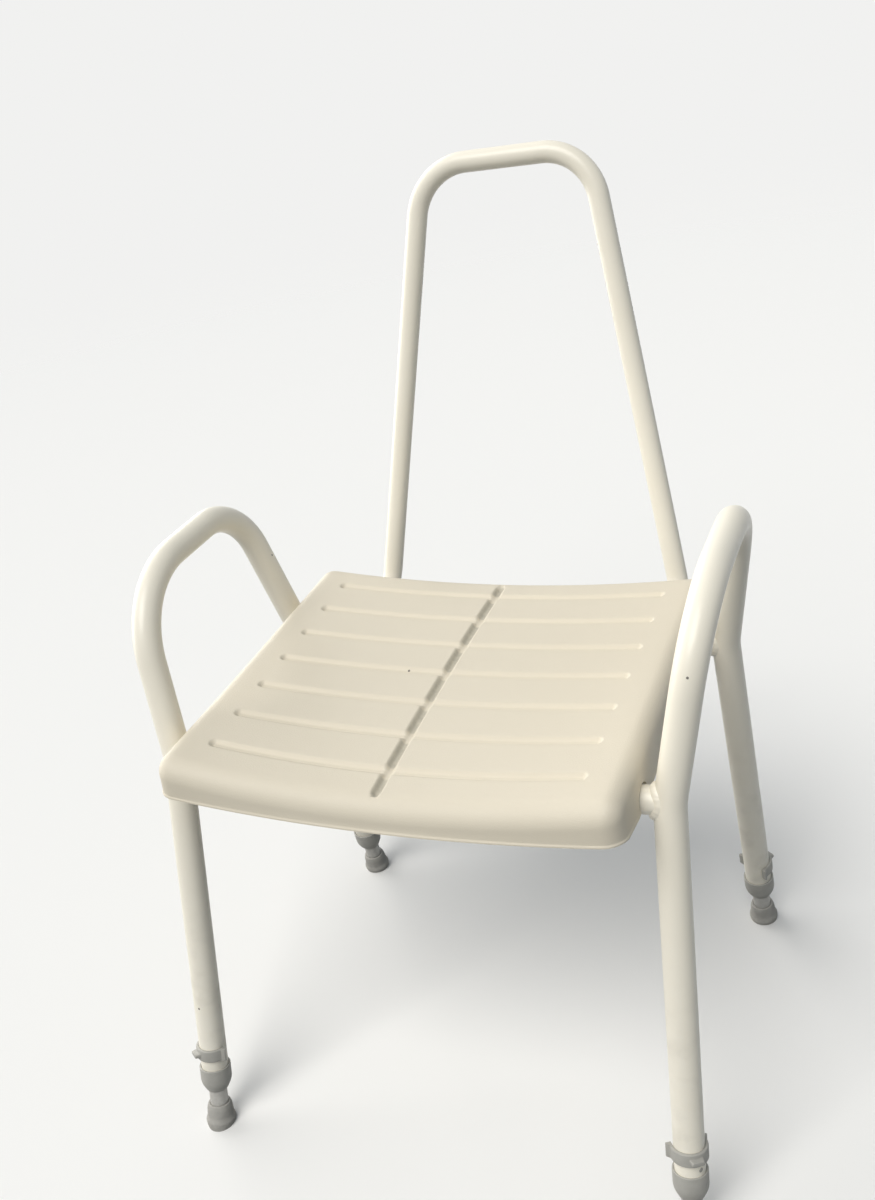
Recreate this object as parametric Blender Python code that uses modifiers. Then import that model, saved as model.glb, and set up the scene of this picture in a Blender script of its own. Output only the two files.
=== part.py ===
"""Shower chair with arms and a back, built in metres with +Z up and the front towards -Y.

Two side frames, each one bent tube, are joined at seat level by two cross tubes. Two rails
under the cross tubes take the ends of the tapering back hoop. A moulded seat sits on the
cross tubes, and each leg holds a telescopic inner leg with a locking clip and a ferrule.
"""

import math

import bmesh
import bpy
from mathutils import Matrix, Vector

# Tubes
LEG_TUBE_D = 0.028
LEG_TUBE_WALL = 0.0015
CROSS_TUBE_D = 0.025
CROSS_TUBE_WALL = 0.0015
BACK_TUBE_D = 0.0222
BACK_TUBE_WALL = 0.0015
RAIL_WALL = 0.0015

# Clearances
SEAT_GAP = 0.0003
SLIDE_GAP = 0.0004
HOLE_GAP = 0.0005

# Side frames: where the tube's centreline bends
KNEE_HEIGHT = 0.4047
KNEE_HALF_WIDTH = 0.2428
CROSS_TUBE_SPACING = 0.2545
ARM_RISE = 0.1617
ARM_FLARE = 0.0276
LEG_SPLAY = 0.0086
FRONT_LEG_RAKE = 0.1046
REAR_LEG_RAKE = 0.0511
KNEE_BEND_R = 0.090
ARM_FRONT_R = 0.098
ARM_REAR_R = 0.067

# Back hoop
HOOP_REACH = 0.1095
HOOP_LEAN = math.radians(14.3)
HOOP_RISE = 0.4663
HOOP_TAPER = 0.0825
HOOP_TOP_R = 0.060
HOOP_FOOT_R = 0.050
HOOP_INSERTION = 0.070

# Seat rails under the cross tubes
RAIL_INSET = 0.0667
RAIL_FRONT_OVERHANG = 0.016
RAIL_REAR_OVERHANG = 0.045
PLUG_HEAD = 0.002
PLUG_LENGTH = 0.016
PLUG_BEVEL = 0.0024
BACK_SCREW_INSET = 0.018

# Seat, with its rise measured from the cross tubes and its drops from its own height
SEAT_SIDE_GAP = 0.0088
SEAT_FRONT = 0.0673
SEAT_REAR = 0.0545
SEAT_RISE = 0.0387
SEAT_WALL = 0.005
SEAT_EDGE_R = 0.017
SEAT_NOSE_R = 0.020
SEAT_TAIL_R = 0.0185
SEAT_SLOPE = 0.028
SKIRT_DROP = 0.032
SKIRT_DRAFT = 0.0015
SKIRT_NOTCH_GAP = 0.002
RIM_DROP_FRONT = 0.0509
RIM_DROP_REAR = 0.0454
RIM_DROP_SIDE = 0.0424
RIM_DROP_CORNER = 0.0374
RIM_CORNER_RUN = 0.045
DISH_MARGIN = 0.037
DISH_DEPTH = 0.0077
DISH_GROWTH = 0.0058
DISH_LOW_Y = 0.050
DISH_LENGTH = 0.197

# Grooves in the seat
GROOVE_COUNT = 7
GROOVE_PITCH = 0.0481
GROOVE_CENTRE_Y = -0.0028
GROOVE_MARGIN = 0.037
GROOVE_WIDTH = 0.0115
GROOVE_DEPTH = 0.0032
GROOVE_DRAFT = 0.0015
DRAIN_WIDTH = 0.0090
DRAIN_DEPTH = 0.0048
DRAIN_WALL = 0.003
DRAIN_FRONT_RUN = 0.033
DRAIN_REAR_RUN = 0.024

# Ribs and saddles under the seat
RIB_THICKNESS = 0.003
RIB_DEPTH = 0.012
CROSS_RIB_DEPTH = 0.010
RIB_HALF_SPACING = 0.060
SADDLE_INSET = 0.105
SADDLE_WIDTH = 0.034
SADDLE_LENGTH = 0.032
SADDLE_WRAP = 0.003

# Screws, with their domed heads as shares of the head's radius and height
SCREW_D = 0.005
SCREW_HEAD_D = 0.0100
SCREW_HEAD_H = 0.0032
SCREW_DOME = ((0.65, 0.92), (0.93, 0.55))
SEAT_SCREW_BITE = 0.009
BACK_SCREW_REACH = 0.006

# Feet, with heights measured along the leg from the floor
INNER_LEG_D = 0.019
INNER_LEG_WALL = 0.0015
CAP_D = 0.0323
CAP_TOP = 0.070
CAP_FLOOR = 0.050
CAP_SHOULDER = 0.048
CAP_BOTTOM = 0.042
CAP_NECK_D = 0.0224
CAP_SPIGOT_TOP = 0.080
CAP_BEVEL = 0.0005
NUB_D = 0.004
NUB_HEIGHT = 0.0755
NUB_TURN = math.radians(21.0)
FERRULE_TOP = 0.0243
FERRULE_LIP_D = 0.0234
FERRULE_LIP_DROP = 0.001
FERRULE_WAIST_D = 0.0288
FERRULE_WAIST_TOP = 0.0195
FERRULE_WAIST_LOW = 0.0105
FERRULE_RING_D = 0.0328
FERRULE_RING_HEIGHT = 0.0055
FERRULE_BASE_D = 0.0270
FERRULE_FLOOR = 0.0080
HOLE_PITCH = 0.025
HOLE_COUNT = 7
INNER_LEG_OVERLAP = 0.058
GUIDE_LENGTH = 0.014
GUIDE_SPIGOT = 0.014
GUIDE_BEVEL = 0.0012

# Locking clips
CLIP_TURN = math.radians(35.0)
CLIP_RISE = 0.0185
CLIP_BAND = 0.0130
CLIP_WALL = 0.0028
CLIP_ARM = 0.0070
CLIP_EAR = 0.0024
CLIP_EAR_FLAT = 0.0018
CLIP_EAR_RUN = 0.0046
CLIP_TAB_WIDTH = 0.0130
CLIP_TAB_REACH = 0.0042
CLIP_TAB_HEIGHT = 0.0050
PEG_D = 0.007
PEG_PAST_AXIS = 0.002

# Facets
TUBE_SIDES = 16
HOOP_SIDES = 14
INNER_LEG_SIDES = 12
TURN_STEPS = 16
PLUG_STEPS = 12
PEG_SIDES = 10
HOLE_SIDES = 8
BED_SIDES = 24
BEND_STEP = math.radians(15.0)
CLIP_ARC_STEPS = 10
SEAT_STEPS = 6
SEAT_ROWS = 5
TAIL_ARC_STEPS = 3
NOSE_ARC_STEPS = 4
EDGE_SEGMENTS = 3
GROOVE_END_STEPS = 2
RIB_STRIPS = 4
NOTCH_STEPS = 6

# Sizes that follow from the ones above
LEG_R = LEG_TUBE_D / 2
LEG_BORE_R = LEG_R - LEG_TUBE_WALL
CROSS_R = CROSS_TUBE_D / 2
BACK_R = BACK_TUBE_D / 2
RAIL_R = BACK_R + SLIDE_GAP + RAIL_WALL
RAIL_BORE_R = BACK_R + SLIDE_GAP
KNEE_Y = {"front": -CROSS_TUBE_SPACING / 2, "rear": CROSS_TUBE_SPACING / 2}
RAKE = {"front": -FRONT_LEG_RAKE, "rear": REAR_LEG_RAKE}
ARM_HEIGHT = KNEE_HEIGHT + ARM_RISE
ARM_HALF_WIDTH = KNEE_HALF_WIDTH + ARM_FLARE
RAIL_X = KNEE_HALF_WIDTH - RAIL_INSET
RAIL_HEIGHT = KNEE_HEIGHT - CROSS_R - SEAT_GAP - RAIL_R
RAIL_FRONT_Y = KNEE_Y["front"] - RAIL_FRONT_OVERHANG
RAIL_REAR_Y = KNEE_Y["rear"] + RAIL_REAR_OVERHANG
SEAT_WIDTH = 2 * (KNEE_HALF_WIDTH - LEG_R - SEAT_SIDE_GAP)
SEAT_HEIGHT = KNEE_HEIGHT + SEAT_RISE
SEAT_FRONT_Y = KNEE_Y["front"] - SEAT_FRONT
SEAT_REAR_Y = KNEE_Y["rear"] + SEAT_REAR
SKIRT_TOP = SEAT_HEIGHT - SKIRT_DROP
DISH_SPAN = SEAT_WIDTH / 2 - DISH_MARGIN
GROOVE_LENGTH = SEAT_WIDTH - 2 * GROOVE_MARGIN
SADDLE_X = SEAT_WIDTH / 2 - SADDLE_INSET
INNER_LEG_R = INNER_LEG_D / 2
INNER_LEG_BORE_R = INNER_LEG_R - INNER_LEG_WALL
CLIP_HEIGHT = CAP_TOP + CLIP_RISE
SCREW_R = SCREW_D / 2
SIDES = {"left": -1, "right": 1}
ENDS = {"front": -1, "rear": 1}

# The origin is under the middle of the whole chair, from the front feet to the top of the back
FRONT_LEG_TILT = math.atan2(FRONT_LEG_RAKE, math.hypot(KNEE_HEIGHT, LEG_SPLAY))
RING_REACH = FERRULE_RING_D / 2 * math.cos(FRONT_LEG_TILT)
RING_SETBACK = FERRULE_RING_HEIGHT * math.sin(FRONT_LEG_TILT)
FOOT_REACH = KNEE_Y["front"] - FRONT_LEG_RAKE + RING_SETBACK - RING_REACH
BACK_REACH = KNEE_Y["rear"] + HOOP_REACH + math.tan(HOOP_LEAN) * HOOP_RISE + BACK_R
ORIGIN_SHIFT = -(FOOT_REACH + BACK_REACH) / 2

MATERIALS = {
    "tube_coating": ((0.845, 0.815, 0.690, 1.0), 0.32, 0.0),
    "seat_plastic": ((0.800, 0.740, 0.600, 1.0), 0.55, 0.0),
    "grey_plastic": ((0.260, 0.255, 0.230, 1.0), 0.50, 0.0),
    "grey_tube": ((0.300, 0.295, 0.270, 1.0), 0.40, 0.0),
    "grey_rubber": ((0.240, 0.235, 0.215, 1.0), 0.80, 0.0),
    "plated_screw": ((0.620, 0.615, 0.590, 1.0), 0.30, 1.0),
}


# Scene and object helpers


def clear_scene():
    """Remove every object of the scene."""
    for obj in list(bpy.data.objects):
        bpy.data.objects.remove(obj, do_unlink=True)


def make_collection(name):
    """Make a collection under the scene."""
    group = bpy.data.collections.new(name)
    bpy.context.scene.collection.children.link(group)
    return group


def make_material(name, colour, roughness, metallic):
    """Make a Principled material."""
    material = bpy.data.materials.new(name)
    material.use_nodes = True
    shader = material.node_tree.nodes["Principled BSDF"]
    shader.inputs["Base Color"].default_value = colour
    shader.inputs["Roughness"].default_value = roughness
    shader.inputs["Metallic"].default_value = metallic
    return material


clear_scene()
PARTS = make_collection("shower_chair")
CUTTERS = make_collection("cutters")
FINISHES = {name: make_material(name, *values) for name, values in MATERIALS.items()}


def make_empty(name, matrix, parent=None):
    """Make an empty that places the pieces under it."""
    empty = bpy.data.objects.new(name, None)
    empty.empty_display_size = 0.05
    PARTS.objects.link(empty)
    empty.parent = parent
    empty.matrix_basis = matrix
    return empty


def add_part(name, mesh, finish, parent):
    """Add a mesh as a named piece of the chair."""
    obj = bpy.data.objects.new(name, mesh)
    mesh.materials.clear()
    mesh.materials.append(FINISHES[finish])
    PARTS.objects.link(obj)
    obj.parent = parent
    return obj


def add_cutter(name, mesh, parent):
    """Add a mesh as a cutter or as a shape to join on."""
    obj = bpy.data.objects.new(name, mesh)
    CUTTERS.objects.link(obj)
    obj.parent = parent
    obj.display_type = "WIRE"
    obj.hide_render = True
    return obj


def boolean(obj, tool, operation):
    """Cut or join a tool object into a piece."""
    modifier = obj.modifiers.new(f"{operation.lower()} {tool.name}", "BOOLEAN")
    modifier.operation = operation
    modifier.solver = "EXACT"
    modifier.object = tool


def cut(obj, tool):
    """Take a tool's volume out of a piece."""
    boolean(obj, tool, "DIFFERENCE")


def join(obj, tool):
    """Add a tool's volume to a piece."""
    boolean(obj, tool, "UNION")


def wall(obj, thickness):
    """Give an open surface its wall, inwards from its outer face."""
    modifier = obj.modifiers.new("wall", "SOLIDIFY")
    modifier.thickness = thickness
    modifier.offset = -1.0
    modifier.use_even_offset = True


def smooth(mesh):
    """Shade the round faces of a mesh smooth and keep its real edges sharp."""
    mesh.shade_smooth()
    mesh.set_sharp_from_angle(angle=math.radians(35.0))


# Shape helpers


def mesh_from(builder):
    """Make a mesh from a function that fills a bmesh."""
    shape = bmesh.new()
    builder(shape)
    bmesh.ops.recalc_face_normals(shape, faces=shape.faces[:])
    mesh = bpy.data.meshes.new("shape")
    shape.to_mesh(mesh)
    shape.free()
    smooth(mesh)
    return mesh


def cylinder_mesh(radius, length, sides=TURN_STEPS, capped=True):
    """Make a cylinder along Z, centred on the origin."""
    def build(shape):
        bmesh.ops.create_cone(
            shape, cap_ends=capped, segments=sides, radius1=radius, radius2=radius, depth=length
        )
    return mesh_from(build)


def box_mesh(size, centre, planes=(), axis="X"):
    """Make a box, cut into strips by planes across one axis."""
    normal = Vector((1, 0, 0)) if axis == "X" else Vector((0, 1, 0))

    def build(shape):
        place = Matrix.Translation(centre) @ Matrix.Diagonal((*size, 1.0))
        bmesh.ops.create_cube(shape, size=1.0, matrix=place)
        split(shape, planes, normal)
    return mesh_from(build)


def split(shape, places, normal):
    """Add an edge loop to a bmesh at each place along a normal."""
    for place in places:
        geometry = shape.verts[:] + shape.edges[:] + shape.faces[:]
        bmesh.ops.bisect_plane(
            shape, geom=geometry, dist=1e-6, plane_co=normal * place, plane_no=normal
        )


def add_turned(name, profile, finish, parent, steps=TURN_STEPS):
    """Add a piece turned about Z from a closed or axis-to-axis profile of (radius, height)."""
    edges = [(index, index + 1) for index in range(len(profile) - 1)]
    if profile[0][0] > 0.0:
        edges.append((len(profile) - 1, 0))
    mesh = bpy.data.meshes.new(name)
    mesh.from_pydata([(radius, 0.0, height) for radius, height in profile], edges, [])
    piece = add_part(name, mesh, finish, parent)
    turn = piece.modifiers.new("turn", "SCREW")
    turn.axis = "Z"
    turn.angle = 2 * math.pi
    turn.steps = steps
    turn.render_steps = steps
    turn.use_merge_vertices = True
    turn.merge_threshold = 0.00001
    turn.use_smooth_shade = True
    return piece


def filleted_path(corners, radii, step=BEND_STEP):
    """Round the inner corners of a path with arcs."""
    path = [corners[0]]
    for before, corner, after, radius in zip(corners, corners[1:], corners[2:], radii):
        towards = (before - corner).normalized()
        onwards = (after - corner).normalized()
        half = towards.angle(onwards) / 2
        centre = corner + (towards + onwards).normalized() * radius / math.sin(half)
        start = corner + towards * radius / math.tan(half) - centre
        end = corner + onwards * radius / math.tan(half) - centre
        turn = start.angle(end)
        steps = max(2, math.ceil(turn / step))
        side = (end - start * math.cos(turn)) / math.sin(turn)
        for index in range(steps + 1):
            angle = turn * index / steps
            path.append(centre + start * math.cos(angle) + side * math.sin(angle))
    path.append(corners[-1])
    return path


def tube_mesh(path, radius, capped, sides=TUBE_SIDES):
    """Sweep a round section along a path and return it as a mesh."""
    curve = bpy.data.curves.new("tube", "CURVE")
    curve.dimensions = "3D"
    curve.fill_mode = "FULL"
    curve.bevel_depth = radius
    curve.bevel_resolution = (sides - 4) // 2
    curve.use_fill_caps = capped
    spline = curve.splines.new("POLY")
    spline.points.add(len(path) - 1)
    for point, place in zip(spline.points, path):
        point.co = (*place, 1.0)
    guide = bpy.data.objects.new("tube", curve)
    CUTTERS.objects.link(guide)
    evaluated = guide.evaluated_get(bpy.context.evaluated_depsgraph_get())
    mesh = bpy.data.meshes.new_from_object(evaluated)
    bpy.data.objects.remove(guide, do_unlink=True)
    shape = bmesh.new()
    shape.from_mesh(mesh)
    bmesh.ops.remove_doubles(shape, verts=shape.verts[:], dist=1e-6)
    bmesh.ops.recalc_face_normals(shape, faces=shape.faces[:])
    shape.to_mesh(mesh)
    shape.free()
    smooth(mesh)
    return mesh


def prism_mesh(outline, low, high):
    """Extrude a flat outline of (x, y) points between two heights."""
    curve = bpy.data.curves.new("outline", "CURVE")
    curve.dimensions = "2D"
    curve.fill_mode = "BOTH"
    curve.extrude = (high - low) / 2
    spline = curve.splines.new("POLY")
    spline.points.add(len(outline) - 1)
    for point, (x, y) in zip(spline.points, outline):
        point.co = (x, y, 0.0, 1.0)
    spline.use_cyclic_u = True
    guide = bpy.data.objects.new("outline", curve)
    CUTTERS.objects.link(guide)
    evaluated = guide.evaluated_get(bpy.context.evaluated_depsgraph_get())
    mesh = bpy.data.meshes.new_from_object(evaluated)
    bpy.data.objects.remove(guide, do_unlink=True)
    shape = bmesh.new()
    shape.from_mesh(mesh)
    bmesh.ops.remove_doubles(shape, verts=shape.verts[:], dist=1e-6)
    bmesh.ops.translate(shape, verts=shape.verts[:], vec=(0, 0, (high + low) / 2))
    bmesh.ops.recalc_face_normals(shape, faces=shape.faces[:])
    shape.to_mesh(mesh)
    shape.free()
    smooth(mesh)
    return mesh


def arc(centre, radius, start, end, steps):
    """List the points of an arc, with angles in degrees."""
    points = []
    for index in range(steps + 1):
        angle = math.radians(start + (end - start) * index / steps)
        points.append((centre[0] + radius * math.cos(angle), centre[1] + radius * math.sin(angle)))
    return points


# Side frames and cross tubes


def foot_point(side, end):
    """Where a leg's axis meets the floor."""
    return Vector((side * (KNEE_HALF_WIDTH + LEG_SPLAY), KNEE_Y[end] + RAKE[end], 0.0))


def knee_point(side, end):
    """Where a leg's axis meets its arm tube, beside the cross tube."""
    return Vector((side * KNEE_HALF_WIDTH, KNEE_Y[end], KNEE_HEIGHT))


def arm_point(side, end):
    """The corner of the armrest, on the leg's line in side view."""
    y = KNEE_Y[end] - RAKE[end] * ARM_RISE / KNEE_HEIGHT
    return Vector((side * ARM_HALF_WIDTH, y, ARM_HEIGHT))


def leg_matrix(side, end):
    """A leg's own frame: Z up the leg and -Y the way that its clip pulls off."""
    foot = foot_point(side, end)
    up = (knee_point(side, end) - foot).normalized()
    pull = Vector((side * math.sin(CLIP_TURN), ENDS[end] * math.cos(CLIP_TURN), 0.0))
    pull = (pull - up * pull.dot(up)).normalized()
    across = (-pull).cross(up)
    turn = Matrix((across, -pull, up)).transposed().to_4x4()
    return Matrix.Translation(foot) @ turn


def side_frame_path(side):
    """The centreline of one side frame, from the front leg's end to the rear leg's end."""
    ends = []
    for end in ("front", "rear"):
        foot = foot_point(side, end)
        up = (knee_point(side, end) - foot).normalized()
        ends.append(foot + up * (CAP_FLOOR + SEAT_GAP))
    corners = [
        ends[0],
        knee_point(side, "front"),
        arm_point(side, "front"),
        arm_point(side, "rear"),
        knee_point(side, "rear"),
        ends[1],
    ]
    return filleted_path(corners, (KNEE_BEND_R, ARM_FRONT_R, ARM_REAR_R, KNEE_BEND_R))


def make_side_frame(name, side, root, legs):
    """One bent tube: front leg, arm and rear leg, with the holes for pegs and nubs."""
    path = side_frame_path(side)
    frame = add_part(f"side_frame_{name}", tube_mesh(path, LEG_R, False), "tube_coating", root)
    wall(frame, LEG_TUBE_WALL)
    for end in ENDS:
        cut(frame, make_peg_hole(f"{end}_{name}", legs[end]))
        cut(frame, make_nub_hole(f"{end}_{name}", side * ENDS[end], legs[end]))
    clearance = tube_mesh(path, LEG_R + SEAT_GAP, True)
    return add_cutter(f"cope_{name}", clearance, root)


def make_peg_hole(label, leg):
    """The cutter for a clip's hole, through the clip's side of the leg tube only."""
    mesh = cylinder_mesh(PEG_D / 2 + HOLE_GAP, LEG_R, PEG_SIDES)
    hole = add_cutter(f"peg_hole_{label}", mesh, leg)
    hole.rotation_euler = (math.radians(90), 0, 0)
    hole.location = (0, -LEG_R, CLIP_HEIGHT)
    return hole


def nub_direction(turn_sign):
    """The way that a cap's nub faces in the leg's own frame."""
    angle = NUB_TURN * turn_sign
    return Vector((-math.sin(angle), -math.cos(angle), 0.0))


def make_nub_hole(label, turn_sign, leg):
    """The cutter for the hole that a cap's nub snaps into."""
    mesh = cylinder_mesh(NUB_D / 2 + SEAT_GAP, LEG_R, HOLE_SIDES)
    hole = add_cutter(f"nub_hole_{label}", mesh, leg)
    towards = nub_direction(turn_sign)
    hole.rotation_euler = towards.to_track_quat("Z", "Y").to_euler()
    hole.location = towards * LEG_R + Vector((0, 0, NUB_HEIGHT))
    return hole


def make_cross_tube(end, root, copes):
    """A cross tube with its ends coped round the side frames and holes for the seat screws."""
    mesh = cylinder_mesh(CROSS_R, 2 * KNEE_HALF_WIDTH, TUBE_SIDES, False)
    tube = add_part(f"{end}_cross_tube", mesh, "tube_coating", root)
    tube.rotation_euler = (0, math.radians(90), 0)
    tube.location = (0, KNEE_Y[end], KNEE_HEIGHT)
    wall(tube, CROSS_TUBE_WALL)
    for cope in copes:
        cut(tube, cope)
    for name, side in SIDES.items():
        mesh = cylinder_mesh(SCREW_R + HOLE_GAP, 2 * CROSS_TUBE_D, HOLE_SIDES)
        hole = add_cutter(f"screw_hole_{end}_{name}", mesh, root)
        hole.location = (side * SADDLE_X, KNEE_Y[end], KNEE_HEIGHT)
        cut(tube, hole)
    return tube


# Rails, plugs and back hoop


def make_rail(name, side, root):
    """A rail under both cross tubes, open at the rear for the back hoop."""
    length = RAIL_REAR_Y - RAIL_FRONT_Y
    mesh = cylinder_mesh(RAIL_R, length, TUBE_SIDES, False)
    rail = add_part(f"seat_rail_{name}", mesh, "tube_coating", root)
    rail.rotation_euler = (math.radians(90), 0, 0)
    rail.location = (side * RAIL_X, (RAIL_FRONT_Y + RAIL_REAR_Y) / 2, RAIL_HEIGHT)
    wall(rail, RAIL_WALL)
    return rail


def make_rail_plug(name, side, root):
    """The plug in a rail's front end."""
    bore = RAIL_BORE_R - SEAT_GAP
    profile = [
        (0, PLUG_HEAD + SEAT_GAP),
        (RAIL_R - PLUG_BEVEL, PLUG_HEAD + SEAT_GAP),
        (RAIL_R, PLUG_HEAD / 2 + SEAT_GAP),
        (RAIL_R, SEAT_GAP),
        (bore, SEAT_GAP),
        (bore, -PLUG_LENGTH + PLUG_BEVEL),
        (bore - PLUG_BEVEL / 2, -PLUG_LENGTH),
        (0, -PLUG_LENGTH),
    ]
    plug = add_turned(f"rail_plug_{name}", profile, "grey_plastic", root, PLUG_STEPS)
    plug.rotation_euler = (math.radians(90), 0, 0)
    plug.location = (side * RAIL_X, RAIL_FRONT_Y, RAIL_HEIGHT)
    return plug


def hoop_path():
    """The centreline of the back hoop, from its left end in the rail to its right end."""
    top_z = RAIL_HEIGHT + HOOP_RISE
    foot_y = KNEE_Y["rear"] + HOOP_REACH
    top_y = foot_y + math.tan(HOOP_LEAN) * HOOP_RISE
    end_y = RAIL_REAR_Y - HOOP_INSERTION
    left = [
        Vector((-RAIL_X, end_y, RAIL_HEIGHT)),
        Vector((-RAIL_X, foot_y, RAIL_HEIGHT)),
        Vector((HOOP_TAPER - RAIL_X, top_y, top_z)),
    ]
    right = [Vector((-point.x, point.y, point.z)) for point in reversed(left)]
    return filleted_path(left + right, (HOOP_FOOT_R, HOOP_TOP_R, HOOP_TOP_R, HOOP_FOOT_R))


def make_hoop(root):
    """The back: one bent tube whose ends turn forward into the rails."""
    mesh = tube_mesh(hoop_path(), BACK_R, False, HOOP_SIDES)
    hoop = add_part("back_hoop", mesh, "tube_coating", root)
    wall(hoop, BACK_TUBE_WALL)
    return hoop


def screw_profile(shank):
    """A pan-headed screw along Z, with the head's seat at zero and the shank below."""
    head_r = SCREW_HEAD_D / 2
    dome = [(head_r * out, SCREW_HEAD_H * up) for out, up in SCREW_DOME]
    stem = [(SCREW_R, 0), (SCREW_R, -shank + SCREW_R), (0, -shank)]
    return [(0, SCREW_HEAD_H)] + dome + [(head_r, 0)] + stem


def fix_hoop(name, side, root, rail, hoop):
    """The screw through a rail's outer wall that holds the hoop, and its holes."""
    y = RAIL_REAR_Y - BACK_SCREW_INSET
    mesh = cylinder_mesh(SCREW_R + HOLE_GAP, RAIL_R, HOLE_SIDES)
    hole = add_cutter(f"back_hole_{name}", mesh, root)
    hole.rotation_euler = (0, side * math.radians(90), 0)
    hole.location = (side * (RAIL_X + RAIL_R), y, RAIL_HEIGHT)
    cut(rail, hole)
    cut(hoop, hole)
    profile = screw_profile(RAIL_WALL + SLIDE_GAP + BACK_TUBE_WALL + BACK_SCREW_REACH)
    screw = add_turned(f"back_screw_{name}", profile, "plated_screw", root, HOLE_SIDES)
    screw.rotation_euler = (0, side * math.radians(90), 0)
    screw.location = (side * (RAIL_X + RAIL_R + SEAT_GAP), y, RAIL_HEIGHT)
    return screw


# Seat


def seat_offset(x, y):
    """How far the seat's top lies above its reference height, from its slope and its dish."""
    fore = (y - DISH_LOW_Y) / DISH_LENGTH
    dish = DISH_DEPTH + DISH_GROWTH * fore * fore
    return SEAT_SLOPE * y - dish * (1 - (x / DISH_SPAN) ** 2)


def rim_height(x, y):
    """The height of the skirt's lower rim, lowest at the middle of the front."""
    along = (y - SEAT_FRONT_Y) / (SEAT_REAR_Y - SEAT_FRONT_Y)
    corner = min(1.0, (y - SEAT_FRONT_Y) / RIM_CORNER_RUN)
    middle = RIM_DROP_FRONT + (RIM_DROP_REAR - RIM_DROP_FRONT) * along
    side = RIM_DROP_CORNER + (RIM_DROP_SIDE - RIM_DROP_CORNER) * corner
    return SEAT_HEIGHT - middle - (side - middle) * (2 * x / SEAT_WIDTH) ** 2


def shape_to_seat(mesh):
    """Bend a mesh so that it follows the seat's slope and dish, in flat triangles."""
    shape = bmesh.new()
    shape.from_mesh(mesh)
    for vertex in shape.verts:
        vertex.co.z += seat_offset(vertex.co.x, vertex.co.y)
    return to_triangles(shape, mesh)


def to_triangles(shape, mesh):
    """Split a bmesh into triangles and write it back to its mesh."""
    bmesh.ops.triangulate(shape, faces=shape.faces[:])
    shape.to_mesh(mesh)
    shape.free()
    smooth(mesh)
    return mesh


def strip_places(width, steps):
    """Evenly spaced places across a width, without its two ends."""
    return [width * (index / steps - 0.5) for index in range(1, steps)]


def seat_profile():
    """The seat's side profile as (y, z) points, from the rear skirt over the top to the front."""
    rear = SEAT_REAR_Y - SEAT_TAIL_R
    front = SEAT_FRONT_Y + SEAT_NOSE_R
    tail = arc((rear, SEAT_HEIGHT - SEAT_TAIL_R), SEAT_TAIL_R, 0, 90, TAIL_ARC_STEPS)
    nose = arc((front, SEAT_HEIGHT - SEAT_NOSE_R), SEAT_NOSE_R, 90, 180, NOSE_ARC_STEPS)
    rows = strip_places(front - rear, SEAT_ROWS)
    middle = [((rear + front) / 2 + place, SEAT_HEIGHT) for place in rows]
    return [(SEAT_REAR_Y, SKIRT_TOP)] + tail + middle + nose + [(SEAT_FRONT_Y, SKIRT_TOP)]


def seat_skin():
    """The seat's outer surface: the side profile drawn across, with its two ends rounded."""
    low = SKIRT_TOP
    half = SEAT_WIDTH / 2

    def build(shape):
        rim = [shape.verts.new((-half, y, z)) for y, z in seat_profile()]
        cap = shape.faces.new(rim)
        grown = bmesh.ops.extrude_face_region(shape, geom=[cap])["geom"]
        moved = [item for item in grown if isinstance(item, bmesh.types.BMVert)]
        bmesh.ops.translate(shape, verts=moved, vec=(SEAT_WIDTH, 0, 0))
        bmesh.ops.recalc_face_normals(shape, faces=shape.faces[:])
        edges = [
            edge for edge in shape.edges
            if all(abs(abs(vertex.co.x) - half) < 1e-6 for vertex in edge.verts)
            and edge.verts[0].co.x * edge.verts[1].co.x > 0
            and max(vertex.co.z for vertex in edge.verts) > low + 1e-6
        ]
        bmesh.ops.bevel(
            shape, geom=edges, offset=SEAT_EDGE_R, segments=EDGE_SEGMENTS, profile=0.5,
            affect="EDGES", clamp_overlap=False,
        )
        bottom = [
            face for face in shape.faces
            if all(vertex.co.z < low + 1e-6 for vertex in face.verts)
        ]
        bmesh.ops.delete(shape, geom=bottom, context="FACES")
        split(shape, strip_places(SEAT_WIDTH, SEAT_STEPS), Vector((1, 0, 0)))
        split(shape, [SEAT_FRONT_Y + RIM_CORNER_RUN], Vector((0, 1, 0)))
    mesh = mesh_from(build)
    shape = bmesh.new()
    shape.from_mesh(mesh)
    middle = (SEAT_FRONT_Y + SEAT_REAR_Y) / 2
    length = SEAT_REAR_Y - SEAT_FRONT_Y
    for vertex in shape.verts:
        x, y, z = vertex.co
        if z > low + SEAT_GAP:
            vertex.co.z += seat_offset(x, y)
            continue
        vertex.co.z = rim_height(x, y)
        vertex.co.x = x * (1 + 2 * SKIRT_DRAFT / SEAT_WIDTH)
        vertex.co.y = middle + (y - middle) * (1 + 2 * SKIRT_DRAFT / length)
    return to_triangles(shape, mesh)


def stadium(length, width):
    """A slot's outline with round ends, lying along X."""
    reach = (length - width) / 2
    left = arc((-reach, 0), width / 2, 90, 270, GROOVE_END_STEPS)
    right = arc((reach, 0), width / 2, -90, 90, GROOVE_END_STEPS)
    return left + right


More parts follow.
